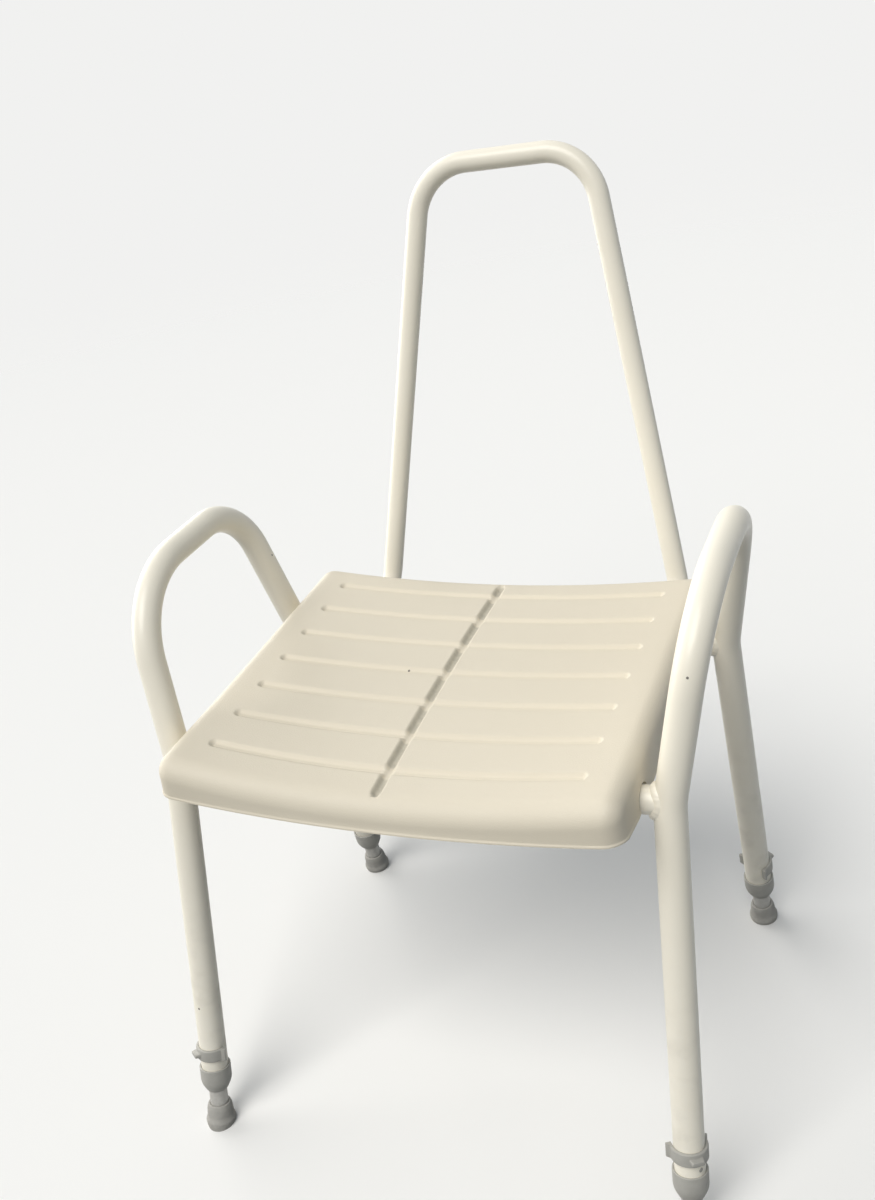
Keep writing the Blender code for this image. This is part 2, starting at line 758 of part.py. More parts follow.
def groove_mesh(length, width, depth, along_x, centre_y):
    """A groove's cutter: a slot with drafted sides that follows the seat's top."""
    mesh = prism_mesh(stadium(length, width), -depth, depth)
    shape = bmesh.new()
    shape.from_mesh(mesh)
    reach = length / 2
    for vertex in shape.verts:
        if vertex.co.z > 0:
            continue
        vertex.co.y *= 1 - 2 * GROOVE_DRAFT / width
        if abs(vertex.co.x) > reach - width:
            vertex.co.x -= math.copysign(GROOVE_DRAFT, vertex.co.x)
    if not along_x:
        turn = Matrix.Rotation(math.radians(90), 3, "Z")
        bmesh.ops.rotate(shape, verts=shape.verts[:], cent=(0, 0, 0), matrix=turn)
    bmesh.ops.translate(shape, verts=shape.verts[:], vec=(0, centre_y, SEAT_HEIGHT))
    if along_x:
        split(shape, strip_places(SEAT_WIDTH, SEAT_STEPS), Vector((1, 0, 0)))
    else:
        rows = strip_places(SEAT_FRONT_Y - SEAT_REAR_Y, SEAT_ROWS)
        split(shape, rows, Vector((0, 1, 0)))
    bmesh.ops.recalc_face_normals(shape, faces=shape.faces[:])
    shape.to_mesh(mesh)
    shape.free()
    return shape_to_seat(mesh)


def groove_places():
    """Where the cross grooves lie along the seat."""
    middle = (GROOVE_COUNT - 1) / 2
    return [GROOVE_CENTRE_Y + GROOVE_PITCH * (index - middle) for index in range(GROOVE_COUNT)]


def drain_ends():
    """Where the lengthwise drain groove starts and stops."""
    places = groove_places()
    return places[0] - DRAIN_FRONT_RUN, places[-1] + DRAIN_REAR_RUN


def underside_box(size, centre_x, centre_y, depth, planes, axis):
    """A rib or block that hangs from the seat's underside and follows its shape."""
    bite = SEAT_WALL / 2
    centre = (centre_x, centre_y, SEAT_HEIGHT - SEAT_WALL + bite / 2 - depth / 2)
    mesh = box_mesh((size[0], size[1], depth + bite), centre, planes, axis)
    return shape_to_seat(mesh)


def add_ribs(seat, root):
    """Lengthwise and crosswise ribs under the seat, and the thicker wall under its drain."""
    front = SEAT_FRONT_Y + SEAT_NOSE_R
    rear = SEAT_REAR_Y - SEAT_TAIL_R
    length = rear - front
    middle = (rear + front) / 2
    planes = [middle + place for place in strip_places(length, RIB_STRIPS)]
    for number, x in enumerate((-SADDLE_X, 0.0, SADDLE_X)):
        mesh = underside_box((RIB_THICKNESS, length), x, middle, RIB_DEPTH, planes, "Y")
        join(seat, add_cutter(f"long_rib_{number}", mesh, root))
    start, finish = drain_ends()
    size = (DRAIN_WIDTH + 2 * DRAIN_WALL, finish - start + 2 * DRAIN_WALL)
    depth = DRAIN_DEPTH + DRAIN_WALL - SEAT_WALL
    mesh = underside_box(size, 0.0, (start + finish) / 2, depth, planes, "Y")
    join(seat, add_cutter("drain_wall", mesh, root))
    width = SEAT_WIDTH - 2 * SEAT_EDGE_R
    for number, y in enumerate((-RIB_HALF_SPACING, RIB_HALF_SPACING)):
        planes = strip_places(SEAT_WIDTH, SEAT_STEPS)
        mesh = underside_box((width, RIB_THICKNESS), 0.0, y, CROSS_RIB_DEPTH, planes, "X")
        join(seat, add_cutter(f"cross_rib_{number}", mesh, root))


def add_saddle(seat, name, side, end, root):
    """The block under the seat that sits on a cross tube and takes a screw."""
    x = side * SADDLE_X
    under = SEAT_HEIGHT + seat_offset(x, KNEE_Y[end]) - SEAT_WALL
    low = KNEE_HEIGHT + SADDLE_WRAP
    high = under + SEAT_WALL / 2
    size = (SADDLE_WIDTH, SADDLE_LENGTH, high - low)
    mesh = box_mesh(size, (x, KNEE_Y[end], (high + low) / 2))
    join(seat, add_cutter(f"saddle_{end}_{name}", mesh, root))


def seat_screw_tip():
    """The height of a seat screw's tip, inside its saddle."""
    return KNEE_HEIGHT + CROSS_R + SEAT_SCREW_BITE


def make_seat(root):
    """The moulded seat: dished shell, grooves, ribs, saddles and skirt notches."""
    seat = add_part("seat", seat_skin(), "seat_plastic", root)
    wall(seat, SEAT_WALL)
    seat.modifiers.new("flat triangles", "TRIANGULATE")
    add_ribs(seat, root)
    for name, side in SIDES.items():
        for end in ENDS:
            add_saddle(seat, name, side, end, root)
    for end in ENDS:
        mesh = cylinder_mesh(CROSS_R + SEAT_GAP, 2 * KNEE_HALF_WIDTH, BED_SIDES)
        bed = add_cutter(f"tube_bed_{end}", mesh, root)
        bed.rotation_euler = (0, math.radians(90), 0)
        bed.location = (0, KNEE_Y[end], KNEE_HEIGHT)
        cut(seat, bed)
        for name, side in SIDES.items():
            cut(seat, make_skirt_notch(name, side, end, root))
            mesh = cylinder_mesh(SCREW_R + SEAT_GAP, CROSS_TUBE_D, HOLE_SIDES)
            hole = add_cutter(f"seat_hole_{end}_{name}", mesh, root)
            top = seat_screw_tip() + SEAT_GAP
            hole.location = (side * SADDLE_X, KNEE_Y[end], top - CROSS_TUBE_D / 2)
            cut(seat, hole)
    for number, y in enumerate(groove_places()):
        mesh = groove_mesh(GROOVE_LENGTH, GROOVE_WIDTH, GROOVE_DEPTH, True, y)
        cut(seat, add_cutter(f"groove_{number}", mesh, root))
    start, finish = drain_ends()
    length = finish - start
    drain = groove_mesh(length, DRAIN_WIDTH, DRAIN_DEPTH, False, (start + finish) / 2)
    cut(seat, add_cutter("drain_groove", drain, root))
    return seat


def make_skirt_notch(name, side, end, root):
    """The cutter that lets a side skirt straddle a cross tube."""
    reach = CROSS_R + SKIRT_NOTCH_GAP
    outline = arc((0, 0), reach, 0, 180, NOTCH_STEPS)
    outline += [(-reach, -CROSS_TUBE_D), (reach, -CROSS_TUBE_D)]
    mesh = prism_mesh(outline, -SEAT_EDGE_R, SEAT_EDGE_R)
    notch = add_cutter(f"skirt_notch_{end}_{name}", mesh, root)
    notch.rotation_euler = (math.radians(90), 0, math.radians(90))
    notch.location = (side * SEAT_WIDTH / 2, KNEE_Y[end], KNEE_HEIGHT)
    return notch


def make_seat_screw(name, side, end, root):
    """A screw from under a cross tube up into the seat's saddle."""
    head_seat = KNEE_HEIGHT - CROSS_R - SEAT_GAP
    profile = screw_profile(seat_screw_tip() - head_seat)
    screw = add_turned(f"seat_screw_{end}_{name}", profile, "plated_screw", root, HOLE_SIDES)
    screw.rotation_euler = (math.radians(180), 0, 0)
    screw.location = (side * SADDLE_X, KNEE_Y[end], head_seat)
    return screw


# Feet


def make_leg_cap(label, turn_sign, leg):
    """The plastic end cap: a cup round the tube's end with a spigot inside it."""
    bore = INNER_LEG_R + SLIDE_GAP
    spigot = LEG_BORE_R - SEAT_GAP
    cup = LEG_R + SEAT_GAP
    profile = [
        (cup, CAP_TOP),
        (CAP_D / 2 - CAP_BEVEL, CAP_TOP),
        (CAP_D / 2, CAP_TOP - CAP_BEVEL),
        (CAP_D / 2, CAP_SHOULDER),
        (CAP_NECK_D / 2, CAP_BOTTOM),
        (bore, CAP_BOTTOM),
        (bore, CAP_SPIGOT_TOP),
        (spigot, CAP_SPIGOT_TOP),
        (spigot, CAP_FLOOR),
        (cup, CAP_FLOOR),
    ]
    cap = add_turned(f"leg_cap_{label}", profile, "grey_plastic", leg)
    towards = nub_direction(turn_sign)
    mesh = cylinder_mesh(NUB_D / 2, 2 * LEG_TUBE_WALL, HOLE_SIDES)
    nub = add_cutter(f"nub_{label}", mesh, leg)
    nub.rotation_euler = towards.to_track_quat("Z", "Y").to_euler()
    nub.location = towards * LEG_BORE_R + Vector((0, 0, NUB_HEIGHT))
    join(cap, nub)
    return cap


def inner_leg_top():
    """The height of an inner leg's top, which keeps its overlap at the highest setting."""
    return CAP_SPIGOT_TOP + HOLE_PITCH * (HOLE_COUNT - 1) + INNER_LEG_OVERLAP


def make_inner_leg(label, leg):
    """The telescopic tube, with a row of holes on the clip's side for its peg."""
    low = FERRULE_FLOOR + SEAT_GAP
    length = inner_leg_top() - low
    mesh = cylinder_mesh(INNER_LEG_R, length, INNER_LEG_SIDES, False)
    tube = add_part(f"inner_leg_{label}", mesh, "grey_tube", leg)
    tube.location = (0, 0, low + length / 2)
    wall(tube, INNER_LEG_WALL)

    def build(shape):
        radius = PEG_D / 2 + HOLE_GAP
        turn = Matrix.Rotation(math.radians(90), 4, "X")
        for index in range(HOLE_COUNT):
            place = Matrix.Translation((0, -INNER_LEG_R, CLIP_HEIGHT + HOLE_PITCH * index))
            bmesh.ops.create_cone(
                shape, cap_ends=True, segments=HOLE_SIDES, radius1=radius, radius2=radius,
                depth=INNER_LEG_D, matrix=place @ turn,
            )
    cut(tube, add_cutter(f"setting_holes_{label}", mesh_from(build), leg))
    return tube


def make_guide(label, leg):
    """The plug on top of an inner leg that keeps it straight in the outer tube."""
    seat = inner_leg_top() + SEAT_GAP
    head = LEG_BORE_R - SLIDE_GAP
    spigot = INNER_LEG_BORE_R - SEAT_GAP
    profile = [
        (0, seat + GUIDE_LENGTH),
        (head - GUIDE_BEVEL, seat + GUIDE_LENGTH),
        (head, seat + GUIDE_LENGTH - GUIDE_BEVEL),
        (head, seat),
        (spigot, seat),
        (spigot, seat - GUIDE_SPIGOT),
        (0, seat - GUIDE_SPIGOT),
    ]
    return add_turned(f"leg_guide_{label}", profile, "grey_plastic", leg, INNER_LEG_SIDES)


def make_ferrule(label, leg, floor):
    """The rubber foot, turned about the leg and cut flat where it meets the floor."""
    bore = INNER_LEG_R + SEAT_GAP
    below = -FERRULE_RING_HEIGHT
    shoulder = (FERRULE_LIP_D + FERRULE_WAIST_D) / 4
    profile = [
        (0, FERRULE_FLOOR),
        (bore, FERRULE_FLOOR),
        (bore, FERRULE_TOP),
        (FERRULE_LIP_D / 2, FERRULE_TOP),
        (shoulder, FERRULE_TOP - FERRULE_LIP_DROP),
        (FERRULE_WAIST_D / 2, FERRULE_WAIST_TOP),
        (FERRULE_WAIST_D / 2, FERRULE_WAIST_LOW),
        (FERRULE_RING_D / 2, FERRULE_RING_HEIGHT),
        ((FERRULE_RING_D + FERRULE_BASE_D) / 4, 0),
        (FERRULE_BASE_D / 2, below),
        (0, below),
    ]
    ferrule = add_turned(f"ferrule_{label}", profile, "grey_rubber", leg)
    cut(ferrule, floor)
    return ferrule


def clip_outline():
    """The clip's band seen along the leg: an open U with a small ear on each arm."""
    inner = LEG_R + SEAT_GAP
    outer = inner + CLIP_WALL
    inner_arc = arc((0, 0), inner, 180, 360, CLIP_ARC_STEPS)
    outer_arc = arc((0, 0), outer, 360, 180, CLIP_ARC_STEPS)
    right = [
        (inner, CLIP_ARM),
        (outer + CLIP_EAR, CLIP_ARM),
        (outer + CLIP_EAR, CLIP_ARM - CLIP_EAR_FLAT),
        (outer, CLIP_ARM - CLIP_EAR_RUN),
    ]
    left = [(-x, y) for x, y in reversed(right)]
    return inner_arc + right + outer_arc + left


def make_clip(label, leg):
    """The locking clip: a U-shaped band, its finger tab and the peg that holds the inner leg."""
    low = CLIP_HEIGHT - CLIP_BAND / 2
    mesh = prism_mesh(clip_outline(), low, low + CLIP_BAND)
    clip = add_part(f"leg_clip_{label}", mesh, "grey_plastic", leg)
    face = LEG_R + SEAT_GAP + CLIP_WALL
    tab_depth = CLIP_TAB_REACH + CLIP_WALL / 2
    tab = box_mesh(
        (CLIP_TAB_WIDTH, tab_depth, CLIP_TAB_HEIGHT),
        (0, -(face + CLIP_TAB_REACH) + tab_depth / 2, CLIP_HEIGHT),
    )
    join(clip, add_cutter(f"tab_{label}", tab, leg))
    front = face - CLIP_WALL / 2
    mesh = cylinder_mesh(PEG_D / 2, front + PEG_PAST_AXIS, PEG_SIDES)
    peg = add_cutter(f"peg_{label}", mesh, leg)
    peg.rotation_euler = (math.radians(90), 0, 0)
    peg.location = (0, (PEG_PAST_AXIS - front) / 2, CLIP_HEIGHT)
    join(clip, peg)
    return clip


# Assembly


def main():
    """Build the whole chair."""
    root = make_empty("chair_origin", Matrix.Translation((0, ORIGIN_SHIFT, 0)))
    floor_mesh = box_mesh((1.0, 1.0, 0.1), (0, 0, -0.05))
    floor = add_cutter("floor", floor_mesh, root)
    copes = []
    for name, side in SIDES.items():
        legs = {}
        for end in ENDS:
            label = f"{end}_{name}"
            legs[end] = make_empty(f"leg_axis_{label}", leg_matrix(side, end), root)
            make_leg_cap(label, side * ENDS[end], legs[end])
            make_inner_leg(label, legs[end])
            make_guide(label, legs[end])
            make_ferrule(label, legs[end], floor)
            make_clip(label, legs[end])
        copes.append(make_side_frame(name, side, root, legs))
    for end in ENDS:
        make_cross_tube(end, root, copes)
    hoop = make_hoop(root)
    for name, side in SIDES.items():
        rail = make_rail(name, side, root)
        make_rail_plug(name, side, root)
        fix_hoop(name, side, root, rail, hoop)
    make_seat(root)
    for name, side in SIDES.items():
        for end in ENDS:
            make_seat_screw(name, side, end, root)


main()
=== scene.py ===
"""Shower chair with arms and a back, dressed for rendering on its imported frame.

Every sub-assembly is a class that holds its sizes in metres, builds its meshes with bmesh
operators and gives them their finish. The chair faces -Y and its left side is at -X.
"""

import logging
import math
from collections.abc import Iterable, Iterator, Sequence
from dataclasses import dataclass
from enum import Enum
from functools import cached_property

import bmesh
import bpy
from bmesh.types import BMEdge, BMesh, BMVert
from mathutils import Matrix, Vector
from mathutils.bvhtree import BVHTree


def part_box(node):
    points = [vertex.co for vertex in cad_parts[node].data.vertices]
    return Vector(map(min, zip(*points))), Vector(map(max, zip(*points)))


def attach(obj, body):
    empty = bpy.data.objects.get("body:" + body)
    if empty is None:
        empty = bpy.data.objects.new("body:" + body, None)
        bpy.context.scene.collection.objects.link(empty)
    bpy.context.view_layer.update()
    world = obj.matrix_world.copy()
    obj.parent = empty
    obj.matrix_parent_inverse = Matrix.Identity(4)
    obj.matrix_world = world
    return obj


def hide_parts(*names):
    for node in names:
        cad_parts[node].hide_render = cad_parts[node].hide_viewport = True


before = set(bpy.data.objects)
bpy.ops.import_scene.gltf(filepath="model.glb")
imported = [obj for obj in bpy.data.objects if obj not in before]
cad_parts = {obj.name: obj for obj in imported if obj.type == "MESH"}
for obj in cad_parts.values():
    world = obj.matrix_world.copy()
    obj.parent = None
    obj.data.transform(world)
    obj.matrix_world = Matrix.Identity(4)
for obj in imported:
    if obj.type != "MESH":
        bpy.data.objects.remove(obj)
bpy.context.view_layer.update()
LOG = logging.getLogger("shower_chair")
MERGE = 1e-6  # how near vertices are to be merged
SLICE = 1e-7  # how near a slice a vertex counts as on it
BITE = 0.0001  # how far a weld reaches into the tubes that it joins
Corner = tuple[float, float, float]
Value = "float | Sequence[float] | Signal"


class Side(Enum):
    """The two sides of the chair, with the sign of X."""

    LEFT = -1
    RIGHT = 1


class End(Enum):
    """The two ends of the chair, with the sign of Y."""

    FRONT = -1
    REAR = 1


class Axis(Enum):
    """The axes, with their places in a vector."""

    X = 0
    Y = 1
    Z = 2


class Cut(Enum):
    """What a Boolean does with its tool."""

    AWAY = "DIFFERENCE"
    JOIN = "UNION"


class Slot(Enum):
    """The record's material slots."""

    COATING = "tube_coating"
    SEAT = "seat_plastic"
    PLASTIC = "grey_plastic"
    TUBE = "grey_tube"
    RUBBER = "grey_rubber"
    ZINC = "plated_screw"


CORNERS = [(side, end) for side in Side for end in End]


def label_of(*choices: Enum) -> str:
    """Name a side, an end or a corner of the chair."""
    return "_".join(choice.name.lower() for choice in choices)


# Finishes


class Signal:
    """A shader socket that takes part in arithmetic."""

    def __init__(self, bench: "FinishBench", socket: bpy.types.NodeSocket) -> None:
        """Wrap an output socket of a material under construction."""
        self.bench = bench
        self.socket = socket

    def __add__(self, other: Value) -> "Signal":
        """Add a number or a signal."""
        return self.bench.math("ADD", self, other)

    __radd__ = __add__

    def __sub__(self, other: Value) -> "Signal":
        """Take a number or a signal away."""
        return self.bench.math("SUBTRACT", self, other)

    def __rsub__(self, other: Value) -> "Signal":
        """Take this signal away from a number."""
        return self.bench.math("SUBTRACT", other, self)

    def __mul__(self, other: Value) -> "Signal":
        """Multiply by a number or a signal."""
        return self.bench.math("MULTIPLY", self, other)

    __rmul__ = __mul__


def weighed(*parts: tuple[Value, float]) -> Value:
    """Add up values by their weights, and leave out what weighs nothing.

    Args:
        parts: Each value with its weight.

    Returns:
        The sum, or 0 where nothing is left.
    """
    terms = [value if weight == 1.0 else value * weight for value, weight in parts if weight]
    return sum(terms[1:], terms[0]) if terms else 0.0


@dataclass(frozen=True)
class Pattern:
    """A noise pattern of a finish.

    Its scale is in waves per metre and its detail in octaves. Its tint is how strongly it shows,
    and its roughening what it adds to the roughness. Patches fade in between two values of the
    noise, and a stretch below 1 draws the pattern out along an axis.
    """

    scale: float
    detail: float = 2.0
    tint: float = 1.0
    roughening: float = 0.0
    fade: tuple[float, float] | None = None
    stretch: Corner | None = None


@dataclass(frozen=True)
class Chips:
    """Small chips with ragged outlines, full in their cores."""

    places: tuple[Corner, ...]
    radius: float
    colour: Corner
    cover: float = 0.85
    core: float = 0.75
    ragged: float = 0.0009
    outline: Pattern = Pattern(1400.0)


class FinishBench:
    """Builds the nodes of one material or of the world."""

    def __init__(self, holder: bpy.types.Material | bpy.types.World) -> None:
        """Clear the nodes of a new material or world.

        Args:
            holder: What the nodes belong to.
        """
        holder.use_nodes = True
        self.holder = holder
        self.tree = holder.node_tree
        self.tree.nodes.clear()

    def node(
        self,
        kind: str,
        settings: dict[str, object] | None = None,
        inputs: dict[str | int, Value] | None = None,
    ) -> bpy.types.Node:
        """Add a node.

        Args:
            kind: The node's type.
            settings: Properties of the node, set before its sockets.
            inputs: Values or signals for its sockets, by name or number.

        Returns:
            The new node.
        """
        node = self.tree.nodes.new(kind)
        for name, value in (settings or {}).items():
            setattr(node, name, value)
        for name, value in (inputs or {}).items():
            if isinstance(value, Signal):
                self.tree.links.new(value.socket, node.inputs[name])
            else:
                node.inputs[name].default_value = value
        return node

    def out(self, node: bpy.types.Node, name: str | int = 0) -> Signal:
        """Wrap one output of a node."""
        return Signal(self, node.outputs[name])

    @cached_property
    def place(self) -> Signal:
        """The object coordinates."""
        return self.out(self.node("ShaderNodeTexCoord"), "Object")

    def math(self, operation: str, first: Value, second: Value) -> Signal:
        """Join two numbers with a Math node."""
        settings = {"operation": operation}
        return self.out(self.node("ShaderNodeMath", settings, {0: first, 1: second}))

    def vector(self, operation: str, first: Value, second: Value, name: str = "Value") -> Signal:
        """Join two vectors with a Vector Math node and read one of its outputs."""
        settings = {"operation": operation}
        return self.out(self.node("ShaderNodeVectorMath", settings, {0: first, 1: second}), name)

    def noise(self, pattern: Pattern) -> Signal:
        """Read a noise pattern.

        Args:
            pattern: What the noise is like.

        Returns:
            A value that varies about 0.5, or patches from 0 to 1, without its tint.
        """
        where = self.place
        if pattern.stretch:
            where = self.vector("MULTIPLY", where, pattern.stretch, "Vector")
        inputs = {"Vector": where, "Scale": pattern.scale, "Detail": pattern.detail}
        value = self.out(self.node("ShaderNodeTexNoise", None, inputs), "Fac")
        return self.ease(value, *pattern.fade) if pattern.fade else value

    def ease(self, value: Value, low: float, high: float) -> Signal:
        """Rise smoothly from 0 at one value to 1 at another, and stay there."""
        inputs = {"Value": value, "From Min": low, "From Max": high}
        settings = {"interpolation_type": "SMOOTHSTEP"}
        return self.out(self.node("ShaderNodeMapRange", settings, inputs))

    def worn(self, low: float, high: float) -> Signal:
        """Find the outer edges of a piece, where it wears."""
        return self.ease(self.out(self.node("ShaderNodeNewGeometry"), "Pointiness"), low, high)

    def low(self, low: float, high: float) -> Signal:
        """Fade from 1 near the floor to 0 above it."""
        height = self.out(self.node("ShaderNodeSeparateXYZ", None, {0: self.place}), "Z")
        return 1 - self.ease(height, low, high)

    def spots(self, chips: Chips) -> Signal:
        """Mark chips.

        Args:
            chips: Where they lie and what they are like.

        Returns:
            A mask that holds their cover inside a chip, and 0 outside.
        """
        mask: Value = 0.0
        wander = (self.noise(chips.outline) - 0.5) * chips.ragged
        for place in chips.places:
            away = self.vector("DISTANCE", self.place, place) + wander
            inside = 1 - self.ease(away, chips.radius * chips.core, chips.radius)
            mask = self.math("MAXIMUM", mask, inside)
        return mask * chips.cover

    def layers(self, colour: Corner, *coats: tuple[Value, "Corner | Signal"]) -> Signal:
        """Lay coats of colour over a colour, each by its own mask.

        Args:
            colour: The colour underneath.
            coats: For each coat, its mask, or 0 where it is left out, and its colour.

        Returns:
            The colour that shows.
        """
        result: Value = (*colour, 1)
        for mask, coat in coats:
            if isinstance(mask, Signal):
                tint = coat if isinstance(coat, Signal) else (*coat, 1)
                inputs = {0: mask, 6: result, 7: tint}
                result = self.out(self.node("ShaderNodeMix", {"data_type": "RGBA"}, inputs), 2)
        return result

    def bump(self, height: Signal, distance: float, strength: float) -> Signal:
        """Turn a height into a bent normal."""
        inputs = {"Height": height, "Distance": distance, "Strength": strength}
        return self.out(self.node("ShaderNodeBump", None, inputs))


@dataclass(frozen=True, kw_only=True)
class Finish:
    """A finish: a clouded colour with a film of dust, or of painted shade, rubbed edges, chips and
    a grain.

    The edge holds the two values of pointiness between which edges are rubbed, and the bump
    holds its distance and its strength. Where no grain is given, the fine pattern is the grain.
    """

    name: str
    colour: Corner
    shade: Corner
    rubbed: Corner
    roughness: float
    cloud: Pattern
    fine: Pattern
    edge: tuple[float, float]
    bump: tuple[float, float]
    grain: tuple[Pattern, ...] = ()
    rub: Pattern | None = None
    rub_tint: float = 1.0
    rub_roughening: float = 0.0
    # Dust on the coating and the rubber; on the seat, the painted shade of its middle groove.
    dirt_and_shade: Corner = (0.0, 0.0, 0.0)
    dirt_and_shade_roughening: float = 0.0
    chips: Chips | None = None
    metallic: float = 0.0
    coat: float = 0.0
    coat_roughness: float = 0.03

    def dirt_and_shade_mask(self, bench: FinishBench) -> Value:
        """Work out how much dust lies or shade is painted on the surface: none here."""
        return 0.0

    def make(self) -> bpy.types.Material:
        """Build the material.

        Returns:
            The new material.
        """
        bench = FinishBench(bpy.data.materials.new(self.name))
        # The film mask is dust on the coating and the rubber, and painted shade in the seat's
        # middle groove.
        cloud, fine, dirt_and_shade = bench.noise(self.cloud), bench.noise(self.fine), self.dirt_and_shade_mask(bench)
        height = weighed(*((bench.noise(part), part.tint) for part in self.grain)) or fine
        rub = bench.worn(*self.edge)
        if self.rub:
            rub = rub * bench.noise(self.rub)
        coats = [
            (weighed((cloud, self.cloud.tint), (fine, self.fine.tint)), self.shade),
            (dirt_and_shade, self.dirt_and_shade),
            (weighed((rub, self.rub_tint)), self.rubbed),
        ]
        if self.chips:
            coats.append((bench.spots(self.chips), self.chips.colour))
        roughness = weighed(
            (1.0, self.roughness), (cloud, self.cloud.roughening), (fine, self.fine.roughening),
            (dirt_and_shade, self.dirt_and_shade_roughening), (rub, self.rub_roughening),
        )
        shader = bench.node("ShaderNodeBsdfPrincipled", None, {
            "Base Color": bench.layers(self.colour, *coats),
            "Roughness": roughness,
            "Normal": bench.bump(height, *self.bump),
            "Metallic": self.metallic,
            "Coat Weight": self.coat,
            "Coat Roughness": self.coat_roughness,
        })
        bench.node("ShaderNodeOutputMaterial", None, {0: bench.out(shader)})
        return bench.holder


@dataclass(frozen=True, kw_only=True)
class DustyFinish(Finish):
    """A finish on which dust settles in patches, most near the floor."""

    dust_levels: tuple[float, float]
    dust_patches: Pattern

    def dirt_and_shade_mask(self, bench: FinishBench) -> Value:
        """Work out how much dust lies on the surface."""
        patches = bench.noise(self.dust_patches)
        return bench.low(*self.dust_levels) * patches * self.dust_patches.tint


@dataclass(frozen=True, kw_only=True)
class CreamCoating(DustyFinish):
    """Cream powder coating on steel tube, with a faint orange peel and a few dark chips."""

    name: str = "cream_coating"
    colour: Corner = (0.940, 0.892, 0.768)
    shade: Corner = (0.900, 0.844, 0.708)
    rubbed: Corner = (0.94, 0.92, 0.84)
    roughness: float = 0.30
    cloud: Pattern = Pattern(9.0, 4.0, 0.40, fade=(0.35, 0.75))
    fine: Pattern = Pattern(160.0, 3.0, 0.12, 0.10)
    edge: tuple[float, float] = (0.53, 0.60)
    bump: tuple[float, float] = (0.00014, 0.5)
    grain: tuple[Pattern, ...] = (Pattern(620.0, 1.5), Pattern(2400.0, 1.0, 0.35))
    rub: Pattern = Pattern(90.0, 3.0)
    rub_tint: float = 0.5
    dirt_and_shade: Corner = (0.54, 0.50, 0.42)
    dirt_and_shade_roughening: float = 0.5
    dust_levels: tuple[float, float] = (0.06, 0.34)
    dust_patches: Pattern = Pattern(38.0, 5.0, 0.35, fade=(0.44, 0.72))
    chips: Chips = Chips(
        places=(
            (0.26258, -0.17097, 0.51532), (-0.24452, 0.05681, 0.49675),
            (-0.24948, -0.26970, 0.14212),
        ),
        radius=0.0013,
        colour=(0.035, 0.030, 0.028),
    )
    coat: float = 0.12
    coat_roughness: float = 0.18


@dataclass(frozen=True, kw_only=True)
class SeatPlastic(Finish):
    """Moulded cream plastic with a fine grain, and shade painted darker into its middle groove."""

    name: str = "seat_plastic"
    colour: Corner = (0.722, 0.662, 0.540)
    shade: Corner = (0.680, 0.620, 0.500)
    rubbed: Corner = (0.82, 0.77, 0.66)
    roughness: float = 0.46
    cloud: Pattern = Pattern(6.0, 3.0, 0.35, fade=(0.36, 0.70))
    fine: Pattern = Pattern(90.0, 3.0, 0.15, 0.10, stretch=(0.30, 1.0, 1.0))
    edge: tuple[float, float] = (0.54, 0.64)
    bump: tuple[float, float] = (0.00030, 0.6)
    grain: tuple[Pattern, ...] = (Pattern(900.0), Pattern(3000.0, 1.0, 0.4))
    rub: Pattern = Pattern(60.0, 4.0)
    rub_tint: float = 0.35
    # Painted shade: the dark grey laid into the middle groove, where the groove is deep.
    dirt_and_shade: Corner = (0.290, 0.290, 0.250)
    dirt_and_shade_roughening: float = 0.3
    grime_patches: Pattern = Pattern(180.0, 4.0, 0.22, fade=(0.25, 0.80))
    grime_cover: float = 0.30
    chips: Chips = Chips(
        places=((-0.04076, -0.06070, 0.43276),), radius=0.0014, colour=(0.05, 0.045, 0.04)
    )

    def dirt_and_shade_mask(self, bench: FinishBench) -> Value:
        """Work out how much shade is painted into the middle groove."""
        # The seat's points carry how much shade is painted into the middle groove.
        grime = bench.out(bench.node("ShaderNodeAttribute", {"attribute_name": "grime"}), "Fac")
        patches = bench.noise(self.grime_patches) * self.grime_patches.tint
        return grime * (patches + self.grime_cover)


@dataclass(frozen=True, kw_only=True)
class GreyPlastic(Finish):
    """Moulded grey plastic of the caps, clips, guides and plugs."""

    name: str = "grey_plastic"
    colour: Corner = (0.430, 0.423, 0.390)
    shade: Corner = (0.345, 0.338, 0.310)
    rubbed: Corner = (0.56, 0.55, 0.52)
    roughness: float = 0.44
    cloud: Pattern = Pattern(70.0, 4.0, 0.5, fade=(0.32, 0.72))
    fine: Pattern = Pattern(700.0, 2.0, 0.2, 0.12)
    edge: tuple[float, float] = (0.52, 0.60)
    bump: tuple[float, float] = (0.00012, 0.5)
    grain: tuple[Pattern, ...] = (Pattern(1500.0),)
    rub: Pattern = Pattern(240.0, 3.0, fade=(0.30, 0.65))
    rub_tint: float = 0.5
    rub_roughening: float = 0.15


@dataclass(frozen=True, kw_only=True)
class GreyTube(Finish):
    """Grey finish of the sliding inner legs, rubbed along their length."""

    name: str = "grey_tube"
    colour: Corner = (0.440, 0.430, 0.400)
    shade: Corner = (0.350, 0.342, 0.315)
    rubbed: Corner = (0.60, 0.59, 0.56)
    roughness: float = 0.38
    cloud: Pattern = Pattern(50.0, 4.0, 0.3, fade=(0.35, 0.70))
    fine: Pattern = Pattern(700.0, 3.0, 0.4, 0.16, stretch=(1.0, 1.0, 0.04))
    edge: tuple[float, float] = (0.53, 0.62)
    bump: tuple[float, float] = (0.00006, 0.5)
    rub: Pattern = Pattern(200.0, 3.0)
    metallic: float = 0.25


